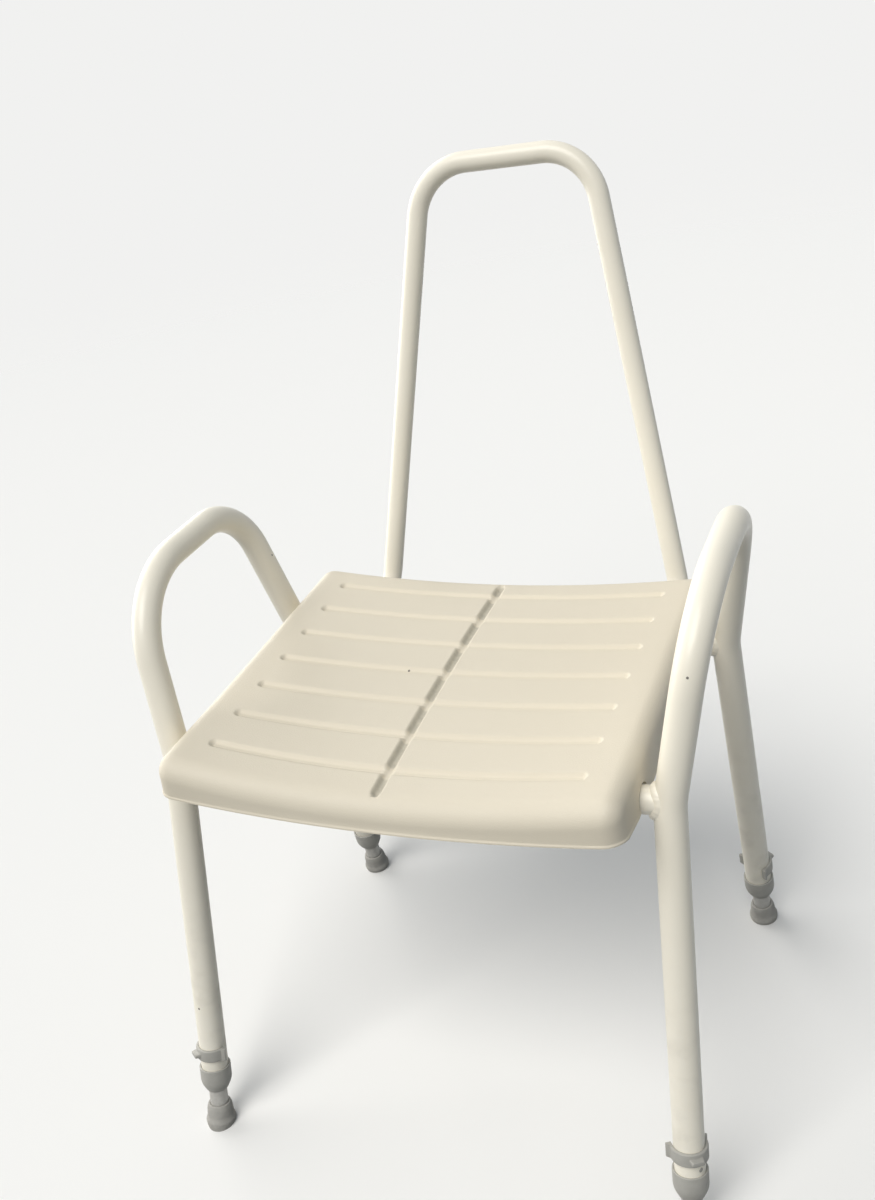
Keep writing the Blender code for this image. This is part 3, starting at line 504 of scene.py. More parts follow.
@dataclass(frozen=True, kw_only=True)
class GreyRubber(DustyFinish):
    """Grey rubber of the ferrules, dusty and paler near the floor."""

    name: str = "grey_rubber"
    colour: Corner = (0.420, 0.410, 0.380)
    shade: Corner = (0.330, 0.322, 0.298)
    rubbed: Corner = (0.50, 0.49, 0.46)
    roughness: float = 0.70
    cloud: Pattern = Pattern(90.0, 4.0, 0.6, fade=(0.32, 0.70))
    fine: Pattern = Pattern(1100.0, 3.0, 0.0, 0.12)
    edge: tuple[float, float] = (0.52, 0.60)
    bump: tuple[float, float] = (0.00025, 0.7)
    rub: Pattern = Pattern(300.0, 3.0)
    rub_tint: float = 0.6
    dirt_and_shade: Corner = (0.520, 0.505, 0.460)
    dirt_and_shade_roughening: float = 0.1
    dust_levels: tuple[float, float] = (0.002, 0.016)
    dust_patches: Pattern = Pattern(260.0, 4.0, 0.6, fade=(0.38, 0.66))


@dataclass(frozen=True, kw_only=True)
class ZincPlate(Finish):
    """Bright zinc plating of the screws, dulled in patches."""

    name: str = "zinc_plate"
    colour: Corner = (0.640, 0.640, 0.620)
    shade: Corner = (0.360, 0.345, 0.315)
    rubbed: Corner = (0.80, 0.80, 0.78)
    roughness: float = 0.28
    cloud: Pattern = Pattern(420.0, 4.0, 0.6, 0.25, fade=(0.40, 0.70))
    fine: Pattern = Pattern(2600.0, tint=0.0)
    edge: tuple[float, float] = (0.53, 0.60)
    bump: tuple[float, float] = (0.00004, 0.4)
    rub_tint: float = 0.5
    metallic: float = 1.0


# Mesh tools


def verts_of(items: Iterable[object]) -> list[BMVert]:
    """Keep the vertices of what an operator returned."""
    return [item for item in items if isinstance(item, BMVert)]


def edges_of(items: Iterable[object]) -> list[BMEdge]:
    """Keep the edges of what an operator returned."""
    return [item for item in items if isinstance(item, BMEdge)]


def all_of(shape: BMesh) -> list[object]:
    """List everything that a shape is made of."""
    return shape.verts[:] + shape.edges[:] + shape.faces[:]


def span(edge: BMEdge, axis: Axis) -> float:
    """How far an edge reaches along an axis."""
    return abs(edge.verts[0].co[axis.value] - edge.verts[1].co[axis.value])


def smooth(share: float) -> float:
    """Ease a share from 0 to 1, and hold it beyond them."""
    share = min(max(share, 0.0), 1.0)
    return share * share * (3 - 2 * share)


def quarter_turn(axis: Axis, sign: int = 1) -> Matrix:
    """Turn a quarter about an axis."""
    return Matrix.Rotation(sign * math.pi / 2, 4, axis.name)


def aimed(way: Vector) -> Matrix:
    """Turn Z to point along a way."""
    return way.to_track_quat("Z", "Y").to_matrix().to_4x4()


def tidy(shape: BMesh) -> BMesh:
    """Merge doubled vertices and turn every face outwards."""
    bmesh.ops.remove_doubles(shape, verts=shape.verts[:], dist=MERGE)
    bmesh.ops.recalc_face_normals(shape, faces=shape.faces[:])
    return shape


def capped(shape: BMesh) -> BMesh:
    """Close the open rims of a shape."""
    bmesh.ops.holes_fill(shape, edges=[edge for edge in shape.edges if edge.is_boundary])
    return tidy(shape)


def slice_at(shape: BMesh, places: Iterable[float], axis: Axis) -> None:
    """Add an edge loop at each place along an axis.

    Args:
        shape: The mesh to slice.
        places: Distances along the axis.
        axis: The axis across the slices.
    """
    normal = Vector([float(axis.value == index) for index in range(3)])
    for place in places:
        bmesh.ops.bisect_plane(
            shape, geom=all_of(shape), dist=SLICE, plane_co=normal * place, plane_no=normal
        )


def rounded(shape: BMesh, geom: Sequence[BMVert | BMEdge], width: float, segments: int) -> None:
    """Round the corners of an outline or the edges of a solid.

    Args:
        shape: The mesh to change.
        geom: The outline's corners, or the solid's edges.
        width: The rounding's width.
        segments: How many flats make the rounding.
    """
    affect = "VERTICES" if isinstance(geom[0], BMVert) else "EDGES"
    bmesh.ops.bevel(
        shape, geom=geom, offset=width, offset_type="OFFSET", segments=segments, profile=0.5,
        affect=affect, material=-1,
    )


def drawn_out(shape: BMesh, way: Corner) -> None:
    """Draw a flat shape out to a solid."""
    made = bmesh.ops.extrude_face_region(shape, geom=shape.faces[:])["geom"]
    bmesh.ops.translate(shape, verts=verts_of(made), vec=way)


def rod(radius: float, length: float, place: Matrix, sides: int = 24) -> BMesh:
    """Make a closed round bar along Z, centred on its place.

    Args:
        radius: Its radius.
        length: Its length.
        place: Where its middle lies, with Z along it.
        sides: How many flats make it round.

    Returns:
        The bar.
    """
    shape = bmesh.new()
    bmesh.ops.create_cone(
        shape, cap_ends=True, segments=sides, radius1=radius, radius2=radius, depth=length,
        matrix=place,
    )
    return shape


def block(size: Sequence[float], place: Matrix) -> BMesh:
    """Make a closed block, centred on its place."""
    shape = bmesh.new()
    bmesh.ops.create_cube(shape, size=1.0, matrix=place @ Matrix.Diagonal((*size, 1.0)))
    return shape


def gathered(shape: BMesh, others: Iterable[BMesh]) -> BMesh:
    """Copy other meshes into a shape and free them.

    Args:
        shape: The mesh that takes them in.
        others: The meshes to copy.

    Returns:
        The same shape.
    """
    for other in others:
        mesh = bpy.data.meshes.new("loose")
        other.to_mesh(mesh)
        other.free()
        shape.from_mesh(mesh)
        bpy.data.meshes.remove(mesh)
    return shape


def linked(shape: BMesh, name: str) -> bpy.types.Object:
    """Hand a shape, which is freed, to a new object of the scene.

    Args:
        shape: The mesh.
        name: The object's name.

    Returns:
        The new object.
    """
    mesh = bpy.data.meshes.new(name)
    shape.to_mesh(mesh)
    shape.free()
    holder = bpy.data.objects.new(name, mesh)
    bpy.context.scene.collection.objects.link(holder)
    return holder


def discard(holder: bpy.types.Object) -> None:
    """Remove an object and its mesh."""
    mesh = holder.data
    bpy.data.objects.remove(holder, do_unlink=True)
    bpy.data.meshes.remove(mesh)


def worked(shape: BMesh, kind: str, **settings: object) -> BMesh:
    """Run a modifier on a shape.

    Args:
        shape: The mesh to work on, which is freed.
        kind: The modifier's type.
        settings: Its properties.

    Returns:
        The mesh as the modifier leaves it.
    """
    blank = linked(shape, "blank")
    modifier = blank.modifiers.new("work", kind)
    for name, value in settings.items():
        setattr(modifier, name, value)
    result = bmesh.new()
    graph = bpy.context.evaluated_depsgraph_get()
    result.from_mesh(blank.evaluated_get(graph).to_mesh())
    discard(blank)
    return result


def walled(shape: BMesh, wall: float) -> BMesh:
    """Give an open skin its wall, inwards from the outer face."""
    return worked(tidy(shape), "SOLIDIFY", thickness=wall, offset=-1.0, use_even_offset=True)


def eased(shape: BMesh, width: float) -> BMesh:
    """Round the sharp edges of a shape."""
    return worked(shape, "BEVEL", width=width, segments=3, angle_limit=math.radians(40.0))


def combined(shape: BMesh, tool: BMesh, cut: Cut = Cut.AWAY) -> BMesh:
    """Cut a tool out of a shape, or join it on.

    Args:
        shape: The mesh to change, which is freed.
        tool: The other mesh, which is freed.
        cut: What to do with the tool.

    Returns:
        The combined mesh.
    """
    other = linked(tool, "tool")
    result = worked(shape, "BOOLEAN", operation=cut.value, solver="EXACT", object=other)
    bmesh.ops.dissolve_degenerate(result, dist=MERGE, edges=result.edges[:])
    discard(other)
    return result


@dataclass(frozen=True)
class Lathe:
    """Turns a profile about the Z axis."""

    steps: int = 56
    segments: int = 4

    def turn(self, profile: Sequence[Corner], closed: bool = False) -> BMesh:
        """Turn a profile.

        Args:
            profile: Corners as (radius, height, rounding).
            closed: Whether the last corner joins the first.

        Returns:
            The turned solid.
        """
        shape = bmesh.new()
        points = [shape.verts.new((radius, 0.0, height)) for radius, height, _ in profile]
        for ends in zip(points, points[1:] + (points[:1] if closed else [])):
            shape.edges.new(ends)
        for point, (_, _, rounding) in zip(points, profile):
            if rounding > 0.0:
                rounded(shape, [point], rounding, self.segments)
        bmesh.ops.spin(
            shape, geom=all_of(shape), cent=(0, 0, 0), axis=(0, 0, 1), angle=2 * math.pi,
            steps=self.steps, use_merge=True,
        )
        return tidy(shape)


@dataclass(frozen=True)
class TubeBender:
    """Bends a round tube along corners."""

    radius: float
    wall: float
    sides: int = 48
    bend_step: float = math.radians(3.0)

    def skin(self, corners: Sequence[Vector], radii: Sequence[float] = ()) -> BMesh:
        """Sweep the tube's outside along straight runs and bends.

        Args:
            corners: The corners of its centreline, with its two ends.
            radii: The bend radius at each inner corner.

        Returns:
            The open outer skin.
        """
        shape = bmesh.new()
        here = corners[0]
        place = Matrix.Translation(here) @ aimed((corners[1] - here).normalized())
        bmesh.ops.create_circle(
            shape, cap_ends=False, segments=self.sides, radius=self.radius, matrix=place
        )
        ring = shape.edges[:]
        for before, corner, after, radius in zip(corners, corners[1:], corners[2:], radii):
            back = (before - corner).normalized()
            onwards = (after - corner).normalized()
            half = back.angle(onwards) / 2
            run = radius / math.tan(half)
            ring = self.push(shape, ring, corner + back * run - here)
            bend = math.pi - 2 * half
            points = list(dict.fromkeys(vertex for edge in ring for vertex in edge.verts))
            made = bmesh.ops.spin(
                shape, geom=points + ring, angle=bend, axis=onwards.cross(back).normalized(),
                cent=corner + (back + onwards).normalized() * radius / math.sin(half),
                steps=max(3, math.ceil(bend / self.bend_step)),
            )
            ring = edges_of(made["geom_last"])
            here = corner + onwards * run
        self.push(shape, ring, corners[-1] - here)
        return shape

    def push(self, shape: BMesh, ring: list[BMEdge], way: Vector) -> list[BMEdge]:
        """Draw a ring out straight.

        Args:
            shape: The tube's mesh.
            ring: The edges at its open end.
            way: How far to draw them.

        Returns:
            The edges at the new end.
        """
        made = bmesh.ops.extrude_edge_only(shape, edges=ring)["geom"]
        points = verts_of(made)
        bmesh.ops.translate(shape, verts=points, vec=way)
        return [edge for edge in edges_of(made) if set(edge.verts) <= set(points)]

    def tube(self, corners: Sequence[Vector], radii: Sequence[float] = ()) -> BMesh:
        """Bend the tube and give it its wall."""
        return walled(self.skin(corners, radii), self.wall)


@dataclass(frozen=True)
class Weld:
    """A fillet of weld round a closed joint, its ripples softened by the coating."""

    steps: int = 8
    bulge: float = 0.0011
    ripple: float = 0.0002
    ripples: int = 18
    crease: float = 60.0

    def run(self, feet: Sequence[tuple[Vector, Vector, Vector]]) -> BMesh:
        """Lay the weld.

        Args:
            feet: Round the joint in order, where the weld meets one tube, where it meets the
                other, and its hidden root between them.

        Returns:
            The closed fillet.
        """
        shape = bmesh.new()
        rings = []
        for index, (first, second, root) in enumerate(feet):
            middle = (first + second) / 2
            wave = math.sin(2 * math.pi * self.ripples * index / len(feet))
            crown = middle + (middle - root).normalized() * 2 * (self.bulge + self.ripple * wave)
            shares = [step / self.steps for step in range(self.steps + 1)]
            line = [first.lerp(crown, s).lerp(crown.lerp(second, s), s) for s in shares]
            points = [shape.verts.new(point) for point in [*line, root]]
            rings.append([shape.edges.new(ends) for ends in zip(points, points[1:] + points[:1])])
        for before, after in zip(rings, rings[1:] + rings[:1]):
            bmesh.ops.bridge_loops(shape, edges=before + after)
        return tidy(shape)


# The chair's plan


@dataclass(frozen=True)
class ChairPlan:
    """The centrelines, levels and sizes that the sub-assemblies share."""

    middle_y: float
    knee_height: float = 0.4047
    knee_half_width: float = 0.2428
    cross_spacing: float = 0.2545
    arm_rise: float = 0.1617
    arm_flare: float = 0.0276
    leg_splay: float = 0.0086
    front_rake: float = 0.1046
    rear_rake: float = 0.0511
    leg_radius: float = 0.0140
    wall: float = 0.0015
    inner_radius: float = 0.0095
    cross_radius: float = 0.0125
    back_radius: float = 0.0111
    rail_radius: float = 0.0130
    rail_x: float = 0.1761
    screw_x: float = 0.115
    screw_hole: float = 0.0030
    gap: float = 0.0003
    slide: float = 0.0004
    clip_turn: float = math.radians(35.0)
    clip_height: float = 0.0885
    cap_floor: float = 0.050
    nub_height: float = 0.0755
    nub_turn: float = math.radians(21.0)

    @property
    def rail_height(self) -> float:
        """The height of the rails' centrelines."""
        return self.knee_height - self.cross_radius - self.gap - self.rail_radius

    def cross_y(self, end: End) -> float:
        """Where a cross tube lies along the chair."""
        return self.middle_y + end.value * self.cross_spacing / 2

    def rake(self, end: End) -> float:
        """How far a foot stands outside its cross tube along the chair."""
        return end.value * (self.front_rake if end is End.FRONT else self.rear_rake)

    def foot(self, side: Side, end: End) -> Vector:
        """Where a leg's axis meets the floor."""
        x = side.value * (self.knee_half_width + self.leg_splay)
        return Vector((x, self.cross_y(end) + self.rake(end), 0.0))

    def knee(self, side: Side, end: End) -> Vector:
        """Where a leg's axis meets its cross tube."""
        return Vector((side.value * self.knee_half_width, self.cross_y(end), self.knee_height))

    def arm(self, side: Side, end: End) -> Vector:
        """The corner of an arm."""
        y = self.cross_y(end) - self.rake(end) * self.arm_rise / self.knee_height
        x = side.value * (self.knee_half_width + self.arm_flare)
        return Vector((x, y, self.knee_height + self.arm_rise))

    def leg_frame(self, side: Side, end: End) -> Matrix:
        """A leg's own frame: Z up the leg and -Y the way that its clip pulls off.

        Args:
            side: The side of the chair.
            end: The end of the chair.

        Returns:
            The frame, with its origin on the floor.
        """
        foot = self.foot(side, end)
        up = (self.knee(side, end) - foot).normalized()
        across = side.value * math.sin(self.clip_turn)
        pull = Vector((across, end.value * math.cos(self.clip_turn), 0.0))
        pull = (pull - up * pull.dot(up)).normalized()
        turn = Matrix(((-pull).cross(up), -pull, up)).transposed().to_4x4()
        return Matrix.Translation(foot) @ turn

    def nub_place(self, side: Side, end: End, reach: float) -> Matrix:
        """Where a cap's nub lies in its leg's own frame, with Z pointing out of the leg."""
        angle = self.nub_turn * side.value * end.value
        way = Vector((-math.sin(angle), -math.cos(angle), 0.0))
        return Matrix.Translation(way * reach + Vector((0, 0, self.nub_height))) @ aimed(way)


# Sub-assemblies


@dataclass(frozen=True)
class Assembly:
    """What the sub-assemblies share: the chair's plan and a material for each slot."""

    plan: ChairPlan
    finishes: dict[Slot, bpy.types.Material]

    def deliver(
        self,
        shape: BMesh,
        name: str,
        slot: Slot,
        node: str = "",
        place: Matrix | None = None,
        body: str = "frame",
        crease: float = 32.0,
    ) -> None:
        """Turn a finished shape into a piece of the chair.

        Args:
            shape: The mesh, which is freed.
            name: The piece's name, or what follows its node's name in it.
            slot: The material slot.
            node: The CAD node that it stands for.
            place: Where the mesh goes, if it isn't there yet.
            body: The CAD body that it rides on.
            crease: The angle in degrees past which an edge is shown sharp.
        """
        if place:
            bmesh.ops.transform(shape, matrix=place, verts=shape.verts[:])
        piece = linked(shape, f"{node}_{name}" if node else name)
        mesh = piece.data
        mesh.materials.clear()
        mesh.materials.append(self.finishes[slot])
        mesh.shade_smooth()
        mesh.set_sharp_from_angle(angle=math.radians(crease))
        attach(piece, body)
        if node:
            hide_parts(node)
        LOG.info("%s on %s: %d faces", piece.name, body, len(mesh.polygons))


@dataclass(frozen=True)
class SideFrame(Assembly):
    """One bent tube: front leg, arm and rear leg."""

    side: Side
    knee_bend: float = 0.090
    arm_front_bend: float = 0.098
    arm_rear_bend: float = 0.067
    peg_hole: float = 0.0040
    nub_hole: float = 0.0023

    def skin(self) -> BMesh:
        """Sweep the tube's outside.

        Returns:
            The open skin.
        """
        plan, halves = self.plan, []
        for end in End:
            foot, knee = plan.foot(self.side, end), plan.knee(self.side, end)
            lift = (knee - foot).normalized() * (plan.cap_floor + plan.gap)
            halves.append([foot + lift, knee, plan.arm(self.side, end)])
        front, rear = halves
        radii = (self.knee_bend, self.arm_front_bend, self.arm_rear_bend, self.knee_bend)
        return tidy(TubeBender(plan.leg_radius, plan.wall).skin(front + rear[::-1], radii))

    def holes(self) -> Iterator[BMesh]:
        """Make the cutters for the clips' pegs and the caps' nubs.

        Returns:
            The cutters, one by one.
        """
        reach = self.plan.leg_radius
        for end in End:
            leg = self.plan.leg_frame(self.side, end)
            peg = leg @ Matrix.Translation((0, -reach, self.plan.clip_height))
            yield rod(self.peg_hole, reach, peg @ quarter_turn(Axis.X), 40)
            yield rod(self.nub_hole, reach, leg @ self.plan.nub_place(self.side, end, reach))

    def build(self) -> None:
        """Make the side frame with its holes."""
        tools = gathered(bmesh.new(), self.holes())
        shape = combined(walled(self.skin(), self.plan.wall), tools)
        self.deliver(shape, "tube", Slot.COATING, f"side_frame_{label_of(self.side)}")


@dataclass(frozen=True)
class CrossTube(Assembly):
    """A straight tube between the side frames, coped and welded to them."""

    end: End
    weld_leg: float = 0.0042
    weld_root: float = 0.0006
    weld_steps: int = 132
    ray: float = 0.04

    def point(self, x: float) -> Vector:
        """A point on the tube's centreline."""
        return Vector((x, self.plan.cross_y(self.end), self.plan.knee_height))

    def build(self, skins: dict[Side, BMesh]) -> None:
        """Make the tube and its welds.

        Args:
            skins: The outer skins of the side frames.
        """
        plan = self.plan
        ends = [self.point(side.value * plan.knee_half_width) for side in Side]
        shape = TubeBender(plan.cross_radius, plan.wall).tube(ends)
        places = [Matrix.Translation(self.point(side.value * plan.screw_x)) for side in Side]
        holes = [rod(plan.screw_hole, 4 * plan.cross_radius, place) for place in places]
        shape = combined(shape, gathered(bmesh.new(), holes))
        for side in Side:
            shape = combined(shape, capped(skins[side].copy()))
        for side in Side:
            name = f"weld_{label_of(self.end, side)}"
            self.deliver(self.weld(skins[side], side), name, Slot.COATING, crease=Weld.crease)
        self.deliver(shape, "coped", Slot.COATING, f"{label_of(self.end)}_cross_tube")

    def weld(self, skin: BMesh, side: Side) -> BMesh:
        """Lay the weld where the tube meets a side frame.

        Args:
            skin: The outer skin of the side frame.
            side: The side that it stands on.

        Returns:
            The closed fillet.
        """
        tree = BVHTree.FromBMesh(skin)
        way = Vector((side.value, 0, 0))
        start = self.point(side.value * (self.plan.knee_half_width - self.ray))
        feet = []
        for index in range(self.weld_steps):
            angle = 2 * math.pi * index / self.weld_steps
            out = Vector((0, math.cos(angle), math.sin(angle)))
            hit = tree.ray_cast(start + out * self.plan.cross_radius, way)[0]
            beside = hit + out * self.weld_leg
            near, _, _, away = tree.find_nearest(beside)
            faces = tree.find_nearest_range(beside, away + MERGE)
            normals = {face: normal for _, normal, face, _ in faces}
            normal = sum(normals.values(), Vector()).normalized()
            inwards = -normal if normal.dot(near - self.plan.knee(side, self.end)) > 0 else normal
            feet.append((
                hit - way * self.weld_leg - out * BITE,
                near + inwards * BITE,
                hit + (way - out) * self.weld_root,
            ))
        return Weld().run(feet)


@dataclass(frozen=True)
class SeatRail(Assembly):
    """A straight tube under the cross tubes that takes one end of the back hoop."""

    side: Side
    front_overhang: float = 0.016
    rear_overhang: float = 0.045
    plug_head: float = 0.002
    plug_length: float = 0.016
    screw_inset: float = 0.018
    screw_shank: float = 0.0094
    weld_reach: float = 0.0085
    weld_depth: float = 0.0035
    weld_steps: int = 72

    @property
    def front_y(self) -> float:
        """The rail's front end."""
        return self.plan.cross_y(End.FRONT) - self.front_overhang

    @property
    def rear_y(self) -> float:
        """The rail's rear end."""
        return self.plan.cross_y(End.REAR) + self.rear_overhang

    def point(self, y: float) -> Vector:
        """A point on the rail's centreline."""
        return Vector((self.side.value * self.plan.rail_x, y, self.plan.rail_height))

    def screw_place(self) -> Matrix:
        """Where the back screw's head sits, with Z pointing out of the rail."""
        aside = self.side.value * (self.plan.rail_radius + self.plan.gap)
        place = self.point(self.rear_y - self.screw_inset) + Vector((aside, 0, 0))
        return Matrix.Translation(place) @ quarter_turn(Axis.Y, self.side.value)

    def hole(self) -> BMesh:
        """Make the cutter for the back screw."""
        return rod(self.plan.screw_hole, 2 * self.plan.rail_radius, self.screw_place())

    def build(self) -> None:
        """Make the rail, its welds, its plug and its screw."""
        label = label_of(self.side)
        ends = [self.point(self.front_y), self.point(self.rear_y)]
        tube = TubeBender(self.plan.rail_radius, self.plan.wall).tube(ends)
        tube = combined(tube, self.hole())
        self.deliver(tube, "tube", Slot.COATING, f"seat_rail_{label}")
        for end in End:
            name = f"rail_weld_{label_of(end, self.side)}"
            self.deliver(self.weld(end), name, Slot.COATING, crease=Weld.crease)
        place = Matrix.Translation(ends[0]) @ quarter_turn(Axis.X)
        self.deliver(self.plug(), "moulded", Slot.PLASTIC, f"rail_plug_{label}", place)
        screw = PanScrew(self.plan, self.finishes, self.screw_shank)
        screw.build(f"back_screw_{label}", self.screw_place())

    def plug(self) -> BMesh:
        """Turn the plug of the rail's front end.

        Returns:
            The plug, along Z with its seat at zero.
        """
        radius, gap = self.plan.rail_radius, self.plan.gap
        bore = radius - self.plan.wall - gap
        return Lathe().turn([
            (0.0, self.plug_head + gap, 0.0),
            (radius, self.plug_head + gap, 0.0014),
            (radius, gap, 0.0002),
            (bore, gap, 0.0),
            (bore, -self.plug_length, 0.0010),
            (0.0, -self.plug_length, 0.0),
        ])

    def weld(self, end: End) -> BMesh:
        """Lay the weld between the rail and a cross tube above it.

        Args:
            end: The end of the chair.

        Returns:
            The closed fillet.
        """
        plan = self.plan
        middle = Vector((self.side.value * plan.rail_x, plan.cross_y(end), 0.0))
        up = Vector((0.0, 0.0, 1.0))
        feet = []
        for index in range(self.weld_steps):
            angle = 2 * math.pi * index / self.weld_steps
            out = Vector((math.cos(angle), math.sin(angle), 0.0))
            x, y = out.xy * self.weld_reach
            upper = plan.knee_height - math.sqrt(plan.cross_radius ** 2 - y * y) + BITE
            lower = plan.rail_height + math.sqrt(plan.rail_radius ** 2 - x * x) - BITE
            level = middle + out * self.weld_reach
            root = level - out * self.weld_depth + up * (upper + lower) / 2
            feet.append((level + up * upper, level + up * lower, root))
        return Weld(bulge=0.0007, ripple=0.00015, ripples=9).run(feet)


@dataclass(frozen=True)
class BackHoop(Assembly):
    """The back: one bent tube that tapers upwards, with its feet turned into the rails."""

    rails: dict[Side, SeatRail]
    reach: float = 0.1095
    lean: float = math.radians(14.3)
    rise: float = 0.4663
    top_half_width: float = 0.0936
    top_bend: float = 0.060
    foot_bend: float = 0.050
    insertion: float = 0.070

    def corners(self) -> list[Vector]:
        """List the corners of the centreline, from left to right.

        Returns:
            The corners, with the two ends.
        """
        rail = self.rails[Side.LEFT]
        foot_y = self.plan.cross_y(End.REAR) + self.reach
        top_y = foot_y + math.tan(self.lean) * self.rise
        top = Vector((-self.top_half_width, top_y, self.plan.rail_height + self.rise))
        left = [rail.point(rail.rear_y - self.insertion), rail.point(foot_y), top]
        return left + [Vector((-point.x, point.y, point.z)) for point in reversed(left)]

    def build(self) -> None:
        """Make the hoop with its screw holes."""
        radii = (self.foot_bend, self.top_bend, self.top_bend, self.foot_bend)
        bender = TubeBender(self.plan.back_radius, self.plan.wall, sides=44)
        holes = gathered(bmesh.new(), (rail.hole() for rail in self.rails.values()))
        shape = combined(bender.tube(self.corners(), radii), holes)
        self.deliver(shape, "tube", Slot.COATING, "back_hoop")


@dataclass(frozen=True)
class PanScrew(Assembly):
    """A pan-headed screw with a cross recess, along Z with the head's seat at zero."""

    shank: float
    radius: float = 0.0025
    head_radius: float = 0.0050
    head_height: float = 0.0032
    recess_width: float = 0.0009
    recess_reach: float = 0.0027
    recess_depth: float = 0.0015
    thread_pitch: float = 0.0012
    thread_depth: float = 0.0002

    def profile(self) -> list[Corner]:
        """Draw the screw's outline, with rings for its thread.

        Returns:
            Corners as (radius, height, rounding).
        """
        line = [
            (0.0, self.head_height, 0.0),
            (self.head_radius * 0.72, self.head_height * 0.96, 0.0010),
            (self.head_radius, self.head_height * 0.35, 0.0009),
            (self.head_radius, 0.0, 0.0001),
            (self.radius, 0.0, 0.0),
        ]
        height = -self.thread_pitch
        root = self.radius - self.thread_depth
        while height > -self.shank + 1.5 * self.radius:
            line.append((root, height + self.thread_pitch / 2, 0.0))
            line.append((self.radius, height, 0.0))
            height -= self.thread_pitch
        return line + [(root, -self.shank + self.radius, 0.0), (0.0, -self.shank, 0.0)]

    def build(self, node: str, place: Matrix) -> None:
        """Make the screw.

        Args:
            node: The CAD node that it stands for.
            place: Where its head sits, with Z pointing out of it.
        """
        shape = Lathe(steps=32, segments=3).turn(self.profile())
        middle = Matrix.Translation((0, 0, self.head_height))
        recess = Vector((2 * self.recess_reach, self.recess_width, 2 * self.recess_depth))
        for size in (recess, recess.yxz):
            shape = combined(shape, block(size, middle))
        self.deliver(shape, "threaded", Slot.ZINC, node, place)


